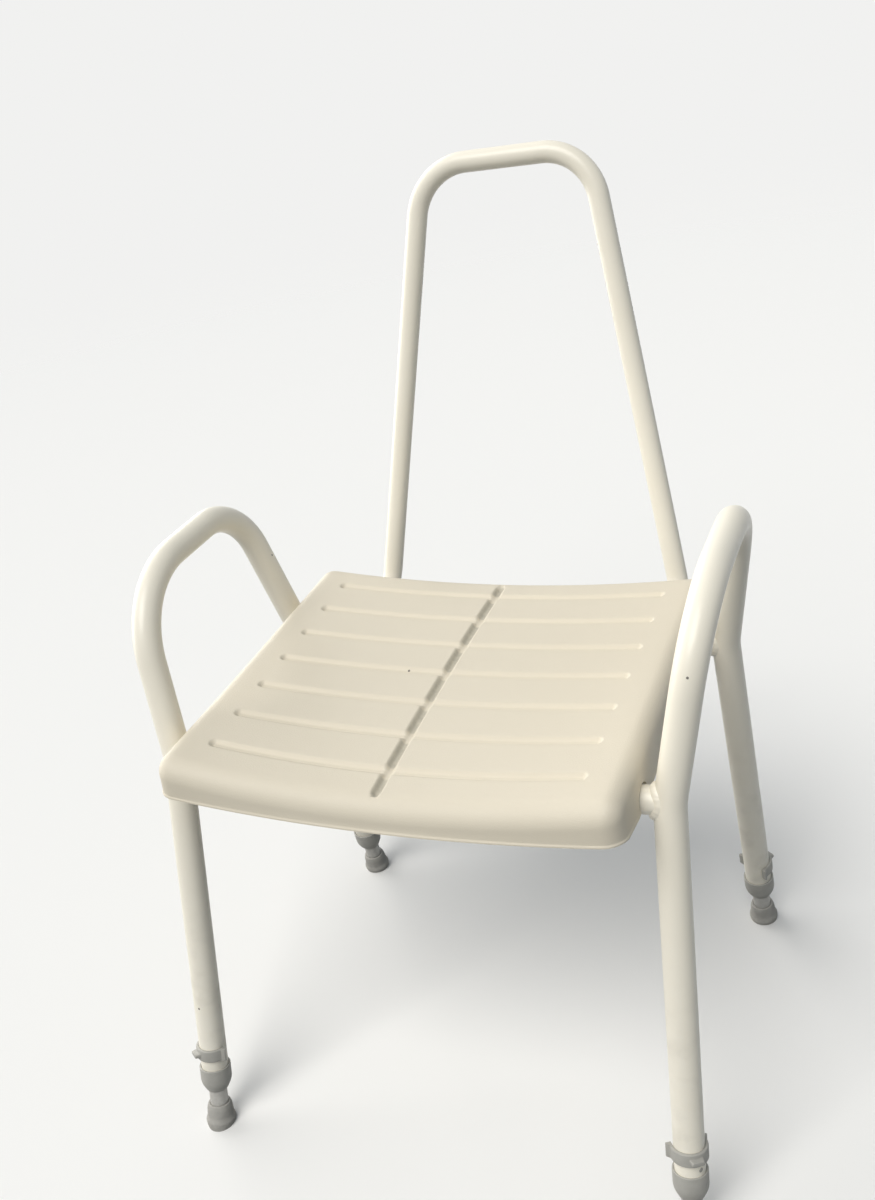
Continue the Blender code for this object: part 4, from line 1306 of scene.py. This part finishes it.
@dataclass(frozen=True)
class Seat(Assembly):
    """The moulded seat: a dished shell with grooves, a rolled front edge and a beaded skirt."""

    width: float = 0.440
    front: float = 0.0673
    rear: float = 0.0545
    height: float = 0.4434
    wall: float = 0.005
    skirt: float = 0.032
    nose: float = 0.0200
    tail: float = 0.0185
    edge: float = 0.017
    rim_front: float = 0.3953
    rim_rear: float = 0.3990
    rim_side: float = 0.4015
    rim_corner: float = 0.4093
    rim_run: float = 0.045
    draft: float = 0.0015
    bead: float = 0.0008
    bead_height: float = 0.0024
    slope: float = 0.028
    dish: float = 0.0077
    dish_growth: float = 0.0058
    dish_low_y: float = 0.050
    dish_span: float = 0.183
    dish_length: float = 0.197
    groove_count: int = 7
    groove_pitch: float = 0.0481
    groove_middle: float = -0.0028
    groove_length: float = 0.366
    groove_width: float = 0.0115
    groove_depth: float = 0.0032
    groove_wall: float = 0.0048
    groove_lip: float = 0.0005
    drain_width: float = 0.0112
    drain_depth: float = 0.0048
    drain_floor: float = 0.0030
    drain_front: float = 0.033
    drain_rear: float = 0.024
    swell_reach: float = 0.0052
    swell_run: float = 0.0036
    corner_blend: float = 0.0035
    # Painted shade: how it fades in inside the middle groove, and fades out where the cross
    # grooves open it.
    grime_run: float = 0.0022
    grime_stop: float = 0.0030
    rib: float = 0.003
    rib_depth: float = 0.012
    rib_bite: float = 0.001
    cross_rib_depth: float = 0.010
    cross_rib_bite: float = 0.00015
    cross_rib_y: float = 0.060
    saddle_width: float = 0.034
    saddle_length: float = 0.032
    saddle_edge: float = 0.0025
    saddle_wrap: float = 0.003
    saddle_hole: float = 0.0028
    screw_bite: float = 0.009
    notch_gap: float = 0.002
    notch_reach: float = 0.02
    notch_drop: float = 0.05
    notch_steps: int = 28
    edge_segments: int = 8
    nose_segments: int = 10
    saddle_segments: int = 4
    rib_lines: int = 16
    cross_rib_lines: int = 24
    loop_gap: float = 0.0003
    skirt_loops: tuple[float, ...] = (0.04, 0.08, 0.12, 0.16, 0.22, 0.30, 0.40, 0.6, 0.8)
    drain_loops: tuple[float, ...] = (*(0.0007 * n for n in range(10)), 0.0074, 0.0088, 0.0110)
    drain_end_loops: tuple[float, ...] = tuple(0.0009 * n for n in range(-1, 9))
    groove_loops: tuple[float, ...] = (*(0.0008 * n for n in range(10)), 0.0086, 0.0110, 0.0165)
    groove_end_loops: tuple[float, ...] = tuple(0.0009 * n - 0.0095 for n in range(13))
    wide_loops: tuple[float, ...] = (*(0.0135 * n for n in range(2, 13)), 0.1935)

    @property
    def front_y(self) -> float:
        """The front of the seat, before its place on the chair is added."""
        return -self.plan.cross_spacing / 2 - self.front

    @property
    def rear_y(self) -> float:
        """The rear of the seat, before its place on the chair is added."""
        return self.plan.cross_spacing / 2 + self.rear

    @property
    def flat(self) -> tuple[float, float]:
        """Where the top starts and ends between its rolled edges."""
        return self.front_y + self.nose, self.rear_y - self.tail

    @cached_property
    def grooves(self) -> list[float]:
        """Where the cross grooves lie."""
        middle = (self.groove_count - 1) / 2
        steps = [index - middle for index in range(self.groove_count)]
        return [self.groove_middle + self.groove_pitch * step for step in steps]

    @cached_property
    def drain(self) -> tuple[float, float]:
        """Where the middle groove starts and ends."""
        return self.grooves[0] - self.drain_front, self.grooves[-1] + self.drain_rear

    def offset(self, x: float, y: float) -> float:
        """How far the top lies above its reference height."""
        fore = (y - self.dish_low_y) / self.dish_length
        dish = self.dish + self.dish_growth * fore * fore
        return self.slope * y - dish * (1 - (x / self.dish_span) ** 2)

    def rim(self, x: float, y: float) -> float:
        """The height of the skirt's lower rim.

        Args:
            x: Across the seat.
            y: Along the seat.

        Returns:
            The height above the floor.
        """
        along = (y - self.front_y) / (self.rear_y - self.front_y)
        corner = min(1.0, (y - self.front_y) / self.rim_run)
        middle = self.rim_front + (self.rim_rear - self.rim_front) * along
        side = self.rim_corner + (self.rim_side - self.rim_corner) * corner
        return middle + (side - middle) * (2 * x / self.width) ** 2

    def past_drain(self, x: float, y: float) -> float:
        """How far a place lies outside the middle groove, or inside it where below zero."""
        start, end = self.drain
        radius = self.drain_width / 2
        return math.hypot(max(start + radius - y, y - end + radius, 0.0), x) - radius

    def past_groove(self, x: float, y: float) -> float:
        """How far a place lies outside the cross grooves, or inside one where below zero."""
        half = (self.groove_length - self.groove_width) / 2
        aside = min(abs(y - place) for place in self.grooves)
        return math.hypot(max(abs(x) - half, 0.0), aside) - self.groove_width / 2

    def groove(self, x: float, y: float) -> float:
        """How deep the grooves are at a place.

        Args:
            x: Across the seat.
            y: Along the seat.

        Returns:
            The depth below the dished top.
        """
        cross, drain = self.past_groove(x, y), self.past_drain(x, y)
        near = max(self.corner_blend - abs(cross - drain), 0.0) / self.corner_blend
        inside = min(cross, drain) - near * near * self.corner_blend / 4
        pressed = self.groove_depth * smooth((self.groove_lip - inside) / self.groove_wall)
        deeper = self.drain_depth - self.groove_depth
        return pressed + deeper * smooth(-drain / self.groove_wall)

    def grime(self, x: float, y: float) -> float:
        """How much shade is painted at a place: in the middle groove, not where the cross grooves
        open it.
        """
        inside = smooth(-self.past_drain(x, y) / self.grime_run)
        return inside * smooth(self.past_groove(x, y) / self.grime_stop)

    def grid_x(self) -> list[float]:
        """Where edge loops run lengthwise: close together at the drain and the groove ends.

        Returns:
            Places across the seat, in order.
        """
        ends = {self.groove_length / 2 + step for step in self.groove_end_loops}
        right = ends | {*self.drain_loops, *self.wide_loops}
        return sorted(right | {-place for place in right})

    def grid_y(self) -> list[float]:
        """Where edge loops run crosswise: close together at each groove.

        Returns:
            Places along the seat, in order.
        """
        offsets = [sign * step for step in self.groove_loops for sign in (-1, 1)]
        lines = {place + offset for place in self.grooves for offset in offsets}
        lines |= {self.drain[0] + step for step in self.drain_end_loops}
        lines |= {self.drain[1] - step for step in self.drain_end_loops}
        low, high = self.flat[0] + self.loop_gap, self.flat[1] - self.loop_gap
        return sorted(line for line in {round(line, 6) for line in lines} if low < line < high)

    def blank(self) -> BMesh:
        """Draw the side profile across the seat, round its edges and give it edge loops.

        Returns:
            The open skin, still flat on top.
        """
        low, high = self.height - self.skirt, self.height
        shape = bmesh.new()
        outline = [
            (self.rear_y, low), (self.rear_y, high), (self.front_y, high), (self.front_y, low),
        ]
        points = [shape.verts.new((-self.width / 2, y, z)) for y, z in outline]
        shape.faces.new(points)
        rounded(shape, [points[1]], self.tail, self.edge_segments)
        rounded(shape, [points[2]], self.nose, self.nose_segments)
        drawn_out(shape, (self.width, 0, 0))
        bmesh.ops.recalc_face_normals(shape, faces=shape.faces[:])
        rims = [
            edge for edge in shape.edges
            if span(edge, Axis.X) < MERGE and max(v.co.z for v in edge.verts) > low + MERGE
        ]
        rounded(shape, rims, self.edge, self.edge_segments)
        under = [face for face in shape.faces if all(v.co.z < low + MERGE for v in face.verts)]
        bmesh.ops.delete(shape, geom=under, context="FACES")
        slice_at(shape, self.grid_x(), Axis.X)
        slice_at(shape, self.grid_y(), Axis.Y)
        drop = self.skirt - self.nose
        slice_at(shape, [low + drop * share for share in self.skirt_loops], Axis.Z)
        return tidy(shape)

    def outwards(self, x: float, y: float) -> Vector:
        """The level way out of the skirt at a place.

        Args:
            x: Across the seat.
            y: Along the seat.

        Returns:
            A unit vector, or zero away from the skirt.
        """
        along = y - (self.front_y + self.rear_y) / 2
        reach = (self.rear_y - self.front_y) / 2 - self.edge
        inner = self.width / 2 - self.edge
        away = Vector((
            x - min(max(x, -inner), inner), along - min(max(along, -reach), reach), 0.0,
        ))
        return away.normalized() if away.length > SLICE else Vector((0, 0, 0))

    def shaped(self, shape: BMesh) -> BMesh:
        """Bend the blank to the dish and the rim, and give the skirt its draft and bead.

        Args:
            shape: The blank.

        Returns:
            The same skin.
        """
        low = self.height - self.skirt
        drop = self.skirt - self.nose
        for vertex in shape.verts:
            x, y, z = vertex.co
            offset, rim = self.offset(x, y), self.rim(x, y)
            share = min(max((z - low) / drop, 0.0), 1.0)
            vertex.co.z = z + offset
            if share < 1.0:
                above = (low + drop + offset - rim) * share
                beaded = smooth((self.bead_height - above) / (self.bead_height / 2))
                way = self.outwards(x, y) * (self.draft * (1 - share) + self.bead * beaded)
                vertex.co = Vector((x, y, rim + above)) + way
        return shape

    def grooved(self, shape: BMesh, count: int) -> BMesh:
        """Press the grooves into the outer face, and keep a wall under the middle one.

        Args:
            shape: The walled shell.
            count: How many of its vertices belong to the outer face, which come first.

        Returns:
            The same shell, with the painted shade of the middle groove on its points.
        """
        # Each point of the outer face keeps how much shade is painted there, for the seat's
        # material.
        layer = shape.verts.layers.float.new("grime")
        swell = self.drain_depth + self.drain_floor - self.wall
        shape.verts.ensure_lookup_table()
        for vertex in shape.verts[:count]:
            vertex[layer] = self.grime(vertex.co.x, vertex.co.y)
            vertex.co.z -= self.groove(vertex.co.x, vertex.co.y)
        for vertex in shape.verts[count:2 * count]:
            away = self.past_drain(vertex.co.x, vertex.co.y)
            vertex.co.z -= swell * smooth((self.swell_reach - away) / self.swell_run)
        return shape

    def notch(self, side: Side, end: End) -> BMesh:
        """Make the cutter that lets the side skirt straddle a cross tube.

        Args:
            side: The side of the chair.
            end: The end of the chair.

        Returns:
            The closed cutter.
        """
        y = end.value * self.plan.cross_spacing / 2
        reach = self.plan.cross_radius + self.notch_gap
        x = side.value * self.width / 2 - self.notch_reach
        shape = bmesh.new()
        start = Vector((x, y - reach, self.plan.knee_height))
        drop = Vector((0, 0, self.notch_drop))
        points = [shape.verts.new(start), shape.verts.new(start - drop)]
        shape.edges.new(points)
        made = bmesh.ops.spin(
            shape, geom=points[:1], cent=(start.x, y, start.z), axis=(-1, 0, 0), angle=math.pi,
            steps=self.notch_steps,
        )
        last = verts_of(made["geom_last"])[0]
        foot = shape.verts.new(last.co - drop)
        shape.edges.new((last, foot))
        shape.edges.new((foot, points[1]))
        bmesh.ops.contextual_create(shape, geom=shape.edges[:])
        drawn_out(shape, (2 * self.notch_reach, 0, 0))
        return tidy(shape)

    def hanging(self, size: Corner, x: float, y: float, lines: int, bite: float) -> BMesh:
        """Make a rib that hangs from the underside and follows it.

        Args:
            size: Its length along X, along Y, and its depth.
            x: Its middle across the seat.
            y: Its middle along the seat.
            lines: How many stretches let it bend.
            bite: How far it reaches into the wall above it.

        Returns:
            The rib.
        """
        wide, long, deep = size
        tall = deep + bite
        top = self.height - self.wall + bite
        shape = block((wide, long, tall), Matrix.Translation((x, y, top - tall / 2)))
        axis, middle, reach = (Axis.X, x, wide) if wide > long else (Axis.Y, y, long)
        shares = [index / lines - 0.5 for index in range(1, lines)]
        slice_at(shape, [middle + reach * share for share in shares], axis)
        for vertex in shape.verts:
            vertex.co.z += self.offset(vertex.co.x, vertex.co.y)
        return shape

    def ribs(self) -> Iterator[BMesh]:
        """Make the ribs: three along the seat and two across it.

        Returns:
            The ribs, one by one.
        """
        low, high = self.flat
        size = (self.rib, high - low, self.rib_depth)
        for share, bite in ((-1, self.rib_bite), (0, -self.rib_bite), (1, self.rib_bite)):
            x = share * self.plan.screw_x
            yield self.hanging(size, x, (low + high) / 2, self.rib_lines, bite)
        size = (self.width - 2 * self.edge, self.rib, self.cross_rib_depth)
        for y in (-self.cross_rib_y, self.cross_rib_y):
            yield self.hanging(size, 0.0, y, self.cross_rib_lines, self.cross_rib_bite)

    def saddle(self, side: Side, end: End) -> BMesh:
        """Make the block that sits on a cross tube and takes a screw.

        Args:
            side: The side of the chair.
            end: The end of the chair.

        Returns:
            The block, with its bed and its hole.
        """
        plan = self.plan
        x, y = side.value * plan.screw_x, end.value * plan.cross_spacing / 2
        high = self.height + self.offset(x, y) - self.wall + self.rib_bite
        low = plan.knee_height + self.saddle_wrap
        size = (self.saddle_width, self.saddle_length, high - low)
        shape = block(size, Matrix.Translation((x, y, (high + low) / 2)))
        upright = [edge for edge in shape.edges if span(edge, Axis.Z) > size[2] / 2]
        rounded(shape, upright, self.saddle_edge, self.saddle_segments)
        bed = Matrix.Translation((x, y, plan.knee_height)) @ quarter_turn(Axis.Y)
        reach = plan.cross_radius + plan.gap
        shape = combined(shape, rod(reach, 2 * self.saddle_width, bed, 56))
        top = plan.knee_height + plan.cross_radius + self.screw_bite + plan.gap
        hole = Matrix.Translation((x, y, top - plan.cross_radius))
        return combined(shape, rod(self.saddle_hole, 2 * plan.cross_radius, hole))

    def build(self) -> None:
        """Make the seat."""
        shape = self.shaped(self.blank())
        count = len(shape.verts)
        shape = self.grooved(walled(shape, self.wall), count)
        notches = gathered(bmesh.new(), (self.notch(side, end) for side, end in CORNERS))
        shape = gathered(combined(shape, notches), self.ribs())
        shape = gathered(shape, (self.saddle(side, end) for side, end in CORNERS))
        place = Matrix.Translation((0, self.plan.middle_y, 0))
        self.deliver(shape, "moulding", Slot.SEAT, "seat", place)

    def screws(self) -> None:
        """Make the screws from under the cross tubes up into the saddles."""
        plan = self.plan
        seat = plan.knee_height - plan.cross_radius - plan.gap
        tip = plan.knee_height + plan.cross_radius + self.screw_bite
        screw = PanScrew(plan, self.finishes, tip - seat)
        over = Matrix.Rotation(math.pi, 4, "X")
        for side, end in CORNERS:
            place = Matrix.Translation((side.value * plan.screw_x, plan.cross_y(end), seat))
            screw.build(f"seat_screw_{label_of(end, side)}", place @ over)


@dataclass(frozen=True)
class LegAssembly(Assembly):
    """A sub-assembly of one leg, modelled in the leg's own frame."""

    side: Side
    end: End

    @property
    def leg(self) -> Matrix:
        """The leg's own frame."""
        return self.plan.leg_frame(self.side, self.end)

    def put(self, shape: BMesh, kind: str, trait: str, slot: Slot, mover: str = "") -> None:
        """Deliver a shape in place of the leg's node of a kind, on the frame or a moving body."""
        label = label_of(self.end, self.side)
        body = f"{mover}_{label}" if mover else "frame"
        self.deliver(shape, trait, slot, f"{kind}_{label}", self.leg, body)


@dataclass(frozen=True)
class LegCap(LegAssembly):
    """The plastic cap on a leg tube's end, with the spigot that guides the inner leg."""

    radius: float = 0.01615
    top: float = 0.070
    shoulder: float = 0.052
    bottom: float = 0.042
    neck: float = 0.0112
    spigot_top: float = 0.080
    nub_radius: float = 0.0020
    nub_edge: float = 0.0004

    def build(self) -> None:
        """Make the cap with its nub."""
        plan = self.plan
        cup = plan.leg_radius + plan.gap
        spigot = plan.leg_radius - plan.wall - plan.gap
        bore = plan.inner_radius + plan.slide
        profile = [
            (cup, self.top, 0.0002),
            (self.radius, self.top, 0.0007),
            (self.radius, self.shoulder, 0.0040),
            (self.neck, self.bottom, 0.0014),
            (bore, self.bottom, 0.0003),
            (bore, self.spigot_top, 0.0003),
            (spigot, self.spigot_top, 0.0008),
            (spigot, plan.cap_floor, 0.0),
            (cup, plan.cap_floor, 0.0),
        ]
        place = plan.nub_place(self.side, self.end, plan.leg_radius - plan.wall)
        nub = eased(rod(self.nub_radius, 2 * plan.wall, place), self.nub_edge)
        shape = combined(Lathe().turn(profile, closed=True), nub, Cut.JOIN)
        self.put(shape, "leg_cap", "moulded", Slot.PLASTIC)


@dataclass(frozen=True)
class InnerLeg(LegAssembly):
    """The sliding inner leg with its row of holes, its guide and its ferrule."""

    floor: float = 0.0080
    top: float = 0.288
    hole_radius: float = 0.0040
    hole_pitch: float = 0.025
    hole_count: int = 7
    guide_height: float = 0.014

    def build(self) -> None:
        """Make the tube, the guide and the ferrule."""
        self.put(self.tube(), "inner_leg", "tube", Slot.TUBE, "leg")
        self.put(self.guide(), "leg_guide", "moulded", Slot.PLASTIC, "leg")
        self.put(self.ferrule(), "ferrule", "moulded", Slot.RUBBER, "leg")

    def tube(self) -> BMesh:
        """Draw the tube and drill its holes.

        Returns:
            The tube.
        """
        plan, radius = self.plan, self.plan.inner_radius
        ends = [Vector((0, 0, self.floor + plan.gap)), Vector((0, 0, self.top))]
        levels = [plan.clip_height + self.hole_pitch * index for index in range(self.hole_count)]
        places = [Matrix.Translation((0, -radius, z)) @ quarter_turn(Axis.X) for z in levels]
        holes = [rod(self.hole_radius, 2 * radius, place, 28) for place in places]
        shape = TubeBender(radius, plan.wall, sides=40).tube(ends)
        return combined(shape, gathered(bmesh.new(), holes))

    def guide(self) -> BMesh:
        """Turn the guide on top of the tube.

        Returns:
            The guide.
        """
        plan = self.plan
        seat = self.top + plan.gap
        head = plan.leg_radius - plan.wall - plan.slide
        spigot = plan.inner_radius - plan.wall - plan.gap
        return Lathe(steps=40).turn([
            (0.0, seat + self.guide_height, 0.0),
            (head, seat + self.guide_height, 0.0015),
            (head, seat, 0.0004),
            (spigot, seat, 0.0),
            (spigot, seat - self.guide_height, 0.0010),
            (0.0, seat - self.guide_height, 0.0),
        ])

    def ferrule(self) -> BMesh:
        """Turn the ferrule and cut it flat where it meets the floor.

        Returns:
            The ferrule.
        """
        bore = self.plan.inner_radius + self.plan.gap
        shape = Lathe().turn([
            (0.0, self.floor, 0.0),
            (bore, self.floor, 0.0),
            (bore, 0.0243, 0.0002),
            (0.0114, 0.0243, 0.0005),
            (0.0121, 0.0230, 0.0006),
            (0.0132, 0.0195, 0.0012),
            (0.0139, 0.0105, 0.0014),
            (0.0157, 0.0055, 0.0012),
            (0.01485, 0.0, 0.0006),
            (0.0135, -0.0055, 0.0),
            (0.0, -0.0055, 0.0),
        ])
        level = self.leg.inverted()
        bmesh.ops.bisect_plane(
            shape, geom=all_of(shape), dist=SLICE, plane_co=level.translation,
            plane_no=level.to_3x3() @ Vector((0, 0, 1)), clear_inner=True,
        )
        return capped(shape)


@dataclass(frozen=True)
class LockingClip(LegAssembly):
    """The U-shaped clip round a leg, with its finger tab and its peg."""

    band_height: float = 0.0130
    thickness: float = 0.0028
    arm: float = 0.0070
    ear: float = 0.0024
    ear_flat: float = 0.0018
    ear_run: float = 0.0046
    tab_width: float = 0.0130
    tab_reach: float = 0.0042
    tab_height: float = 0.0050
    tab_taper: Corner = (0.86, 1, 0.72)
    peg_radius: float = 0.0035
    peg_tip: float = 0.0020
    peg_edge: float = 0.0007
    rounding: float = 0.0013
    edge: float = 0.0006
    band_steps: int = 36
    on_face: float = 1e-5

    @property
    def inner(self) -> float:
        """The band's inner radius."""
        return self.plan.leg_radius + self.plan.gap

    def band(self) -> BMesh:
        """Bend the band: half a ring with two arms that end in small ears.

        Returns:
            The band.
        """
        inner, outer, tip = self.inner, self.inner + self.thickness, self.arm
        low = self.plan.clip_height - self.band_height / 2
        shape = bmesh.new()
        start = [shape.verts.new((inner, 0, low)), shape.verts.new((outer, 0, low))]
        line = [*start, shape.edges.new(start)]
        bmesh.ops.spin(
            shape, geom=line, cent=(0, 0, 0), axis=(0, 0, 1), angle=-math.pi,
            steps=self.band_steps,
        )
        outline = [
            (inner, 0.0), (outer, 0.0), (outer, tip - self.ear_run),
            (outer + self.ear, tip - self.ear_flat), (outer + self.ear, tip), (inner, tip),
        ]
        for sign in (1, -1):
            shape.faces.new([shape.verts.new((sign * x, y, low)) for x, y in outline])
        drawn_out(tidy(shape), (0, 0, self.band_height))
        rims = [
            edge for edge in tidy(shape).edges if span(edge, Axis.Z) < MERGE and all(
                abs(math.hypot(vertex.co.x, min(vertex.co.y, 0)) - outer) < self.on_face
                for vertex in edge.verts
            )
        ]
        rounded(shape, rims, self.rounding, 4)
        return tidy(shape)

    def tab(self) -> BMesh:
        """Make the tapered finger tab, which reaches half into the band.

        Returns:
            The tab.
        """
        face = self.inner + self.thickness
        depth = self.tab_reach + self.thickness / 2
        middle = Vector((0, -(face + self.tab_reach) + depth / 2, self.plan.clip_height))
        tab = block((self.tab_width, depth, self.tab_height), Matrix.Translation(middle))
        outer = [vertex for vertex in tab.verts if vertex.co.y < middle.y]
        bmesh.ops.scale(tab, vec=self.tab_taper, verts=outer, space=Matrix.Translation(-middle))
        outwards = [edge for edge in tab.edges if span(edge, Axis.Y) > depth / 2]
        rounded(tab, outwards, self.rounding, 5)
        return tab

    def peg(self) -> BMesh:
        """Make the peg, from the middle of the band through the leg.

        Returns:
            The peg.
        """
        front = self.inner + self.thickness / 2
        place = Matrix.Translation((0, (self.peg_tip - front) / 2, self.plan.clip_height))
        peg = rod(self.peg_radius, front + self.peg_tip, place @ quarter_turn(Axis.X), 32)
        return eased(peg, self.peg_edge)

    def build(self) -> None:
        """Make the clip."""
        shape = eased(combined(self.band(), self.tab(), Cut.JOIN), self.edge)
        shape = combined(shape, self.peg(), Cut.JOIN)
        self.put(shape, "leg_clip", "moulded", Slot.PLASTIC, "clip")


# Floor, light and camera


@dataclass(frozen=True)
class Lamp:
    """A wide soft lamp, far enough off to light all alike.

    It shines from the direction of its place towards the middle of the floor. Its strength is
    its power over each square metre, and its spread is how wide it looks from the chair.
    """

    name: str
    place: Corner
    strength: float
    spread: float
    colour: Corner = (1.0, 0.97, 0.925)

    def build(self) -> None:
        """Hang the lamp."""
        data = bpy.data.lights.new(self.name, "SUN")
        data.energy = self.strength
        data.angle = self.spread
        data.color = self.colour
        lamp = bpy.data.objects.new(self.name, data)
        lamp.location = self.place
        lamp.rotation_euler = (-lamp.location).to_track_quat("-Z", "Y").to_euler()
        bpy.context.scene.collection.objects.link(lamp)


@dataclass(frozen=True)
class Studio:
    """A pale floor under soft light, seen from the front right."""

    azimuth: float = math.radians(27.080)
    elevation: float = math.radians(27.282)
    roll: float = math.radians(11.347)
    eye: Corner = (0.4655, -0.960478, 1.0355)
    lens: float = 36.45
    sensor: float = 36.0
    nearest: float = 0.05
    backdrop: Corner = (0.88, 0.88, 0.87)
    mottle: Corner = (0.80, 0.80, 0.79)
    mottling: Pattern = Pattern(3.0, 3.0, 0.02)
    bounce: Corner = (0.19, 0.19, 0.185)
    floor_size: float = 6.0
    floor_fade: tuple[float, float] = (1.2, 5.0)
    sky: Corner = (0.80, 0.90, 1.0)
    sky_strength: float = 0.26
    lamps: tuple[Lamp, ...] = (
        Lamp("key", (-0.4, -1.68, 2.48), 2.25, math.radians(40.0)),
        Lamp("side", (-3.0, 1.0, 0.7), 2.80, math.radians(70.0)),
    )

    def seen(self, bench: FinishBench) -> Signal:
        """Tell the rays that show the background from the rays that light the object.

        Args:
            bench: The nodes of the floor or of the world.

        Returns:
            A mask that is 1 for the first kind.
        """
        path = bench.node("ShaderNodeLightPath")
        rays = ("Is Camera Ray", "Is Glossy Ray", "Is Transmission Ray")
        first, second, third = [bench.out(path, ray) for ray in rays]
        return bench.math("MAXIMUM", bench.math("MAXIMUM", first, second), third)

    def floor(self) -> None:
        """Make the floor, which fades into the background far from the chair."""
        shape = bmesh.new()
        bmesh.ops.create_grid(shape, x_segments=8, y_segments=8, size=self.floor_size)
        floor = linked(shape, "studio_floor")
        bench = FinishBench(bpy.data.materials.new("studio_floor"))
        far = bench.ease(bench.vector("LENGTH", bench.place, (0, 0, 0)), *self.floor_fade)
        mottled = bench.noise(self.mottling) * self.mottling.tint
        pale = bench.layers(self.backdrop, (mottled, self.mottle))
        colour = bench.layers(self.bounce, (self.seen(bench), pale))
        diffuse = bench.out(bench.node("ShaderNodeBsdfDiffuse", None, {"Color": colour}))
        clear = bench.out(bench.node("ShaderNodeBsdfTransparent"))
        mix = bench.out(bench.node("ShaderNodeMixShader", None, {0: far, 1: diffuse, 2: clear}))
        bench.node("ShaderNodeOutputMaterial", None, {0: mix})
        floor.data.materials.append(bench.holder)

    def world(self) -> None:
        """Make the soft light from all round and the pale background."""
        world = bpy.data.worlds.new("studio")
        bench = FinishBench(world)
        inputs = {"Color": (*self.sky, 1), "Strength": self.sky_strength}
        light = bench.out(bench.node("ShaderNodeBackground", None, inputs))
        shown = bench.out(bench.node("ShaderNodeBackground", None, {"Color": (*self.backdrop, 1)}))
        inputs = {0: self.seen(bench), 1: light, 2: shown}
        mix = bench.out(bench.node("ShaderNodeMixShader", None, inputs))
        bench.node("ShaderNodeOutputWorld", None, {0: mix})
        bpy.context.scene.world = world

    def camera(self) -> None:
        """Set the camera where the photograph was taken from."""
        level = Vector((math.cos(self.azimuth), math.sin(self.azimuth), 0.0))
        ahead = Vector((
            -math.sin(self.azimuth) * math.cos(self.elevation),
            math.cos(self.azimuth) * math.cos(self.elevation),
            -math.sin(self.elevation),
        ))
        down = ahead.cross(level)
        right = math.cos(self.roll) * level + math.sin(self.roll) * down
        below = -math.sin(self.roll) * level + math.cos(self.roll) * down
        data = bpy.data.cameras.new("camera")
        data.lens = self.lens
        data.sensor_width = self.sensor
        data.clip_start = self.nearest
        camera = bpy.data.objects.new("camera", data)
        turn = Matrix((right, -below, -ahead)).transposed().to_4x4()
        camera.matrix_world = Matrix.Translation(self.eye) @ turn
        bpy.context.scene.collection.objects.link(camera)
        bpy.context.scene.camera = camera

    def build(self) -> None:
        """Set up floor, light and camera."""
        self.floor()
        self.world()
        for lamp in self.lamps:
            lamp.build()
        self.camera()
        bpy.context.scene.view_settings.view_transform = "Standard"


def rest_plan() -> ChairPlan:
    """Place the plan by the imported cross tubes."""
    boxes = [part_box("front_cross_tube"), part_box("rear_cross_tube")]
    return ChairPlan(middle_y=sum(low.y + high.y for low, high in boxes) / 4)


def make_finishes() -> dict[Slot, bpy.types.Material]:
    """Make every material of the chair.

    Returns:
        A material for each slot.
    """
    return {
        Slot.COATING: CreamCoating().make(),
        Slot.SEAT: SeatPlastic().make(),
        Slot.PLASTIC: GreyPlastic().make(),
        Slot.TUBE: GreyTube().make(),
        Slot.RUBBER: GreyRubber().make(),
        Slot.ZINC: ZincPlate().make(),
    }


def main() -> None:
    """Build the studio and the chair, sub-assembly by sub-assembly."""
    logging.basicConfig(level=logging.INFO, format="%(name)s: %(message)s")
    Studio().build()
    common = (rest_plan(), make_finishes())
    sides = {side: SideFrame(*common, side) for side in Side}
    skins = {side: frame.skin() for side, frame in sides.items()}
    rails = {side: SeatRail(*common, side) for side in Side}
    for frame in sides.values():
        frame.build()
    for end in End:
        CrossTube(*common, end).build(skins)
    for rail in rails.values():
        rail.build()
    BackHoop(*common, rails).build()
    seat = Seat(*common)
    seat.build()
    seat.screws()
    for corner in CORNERS:
        LegCap(*common, *corner).build()
        InnerLeg(*common, *corner).build()
        LockingClip(*common, *corner).build()
    for skin in skins.values():
        skin.free()


if __name__ == "__main__":
    main()
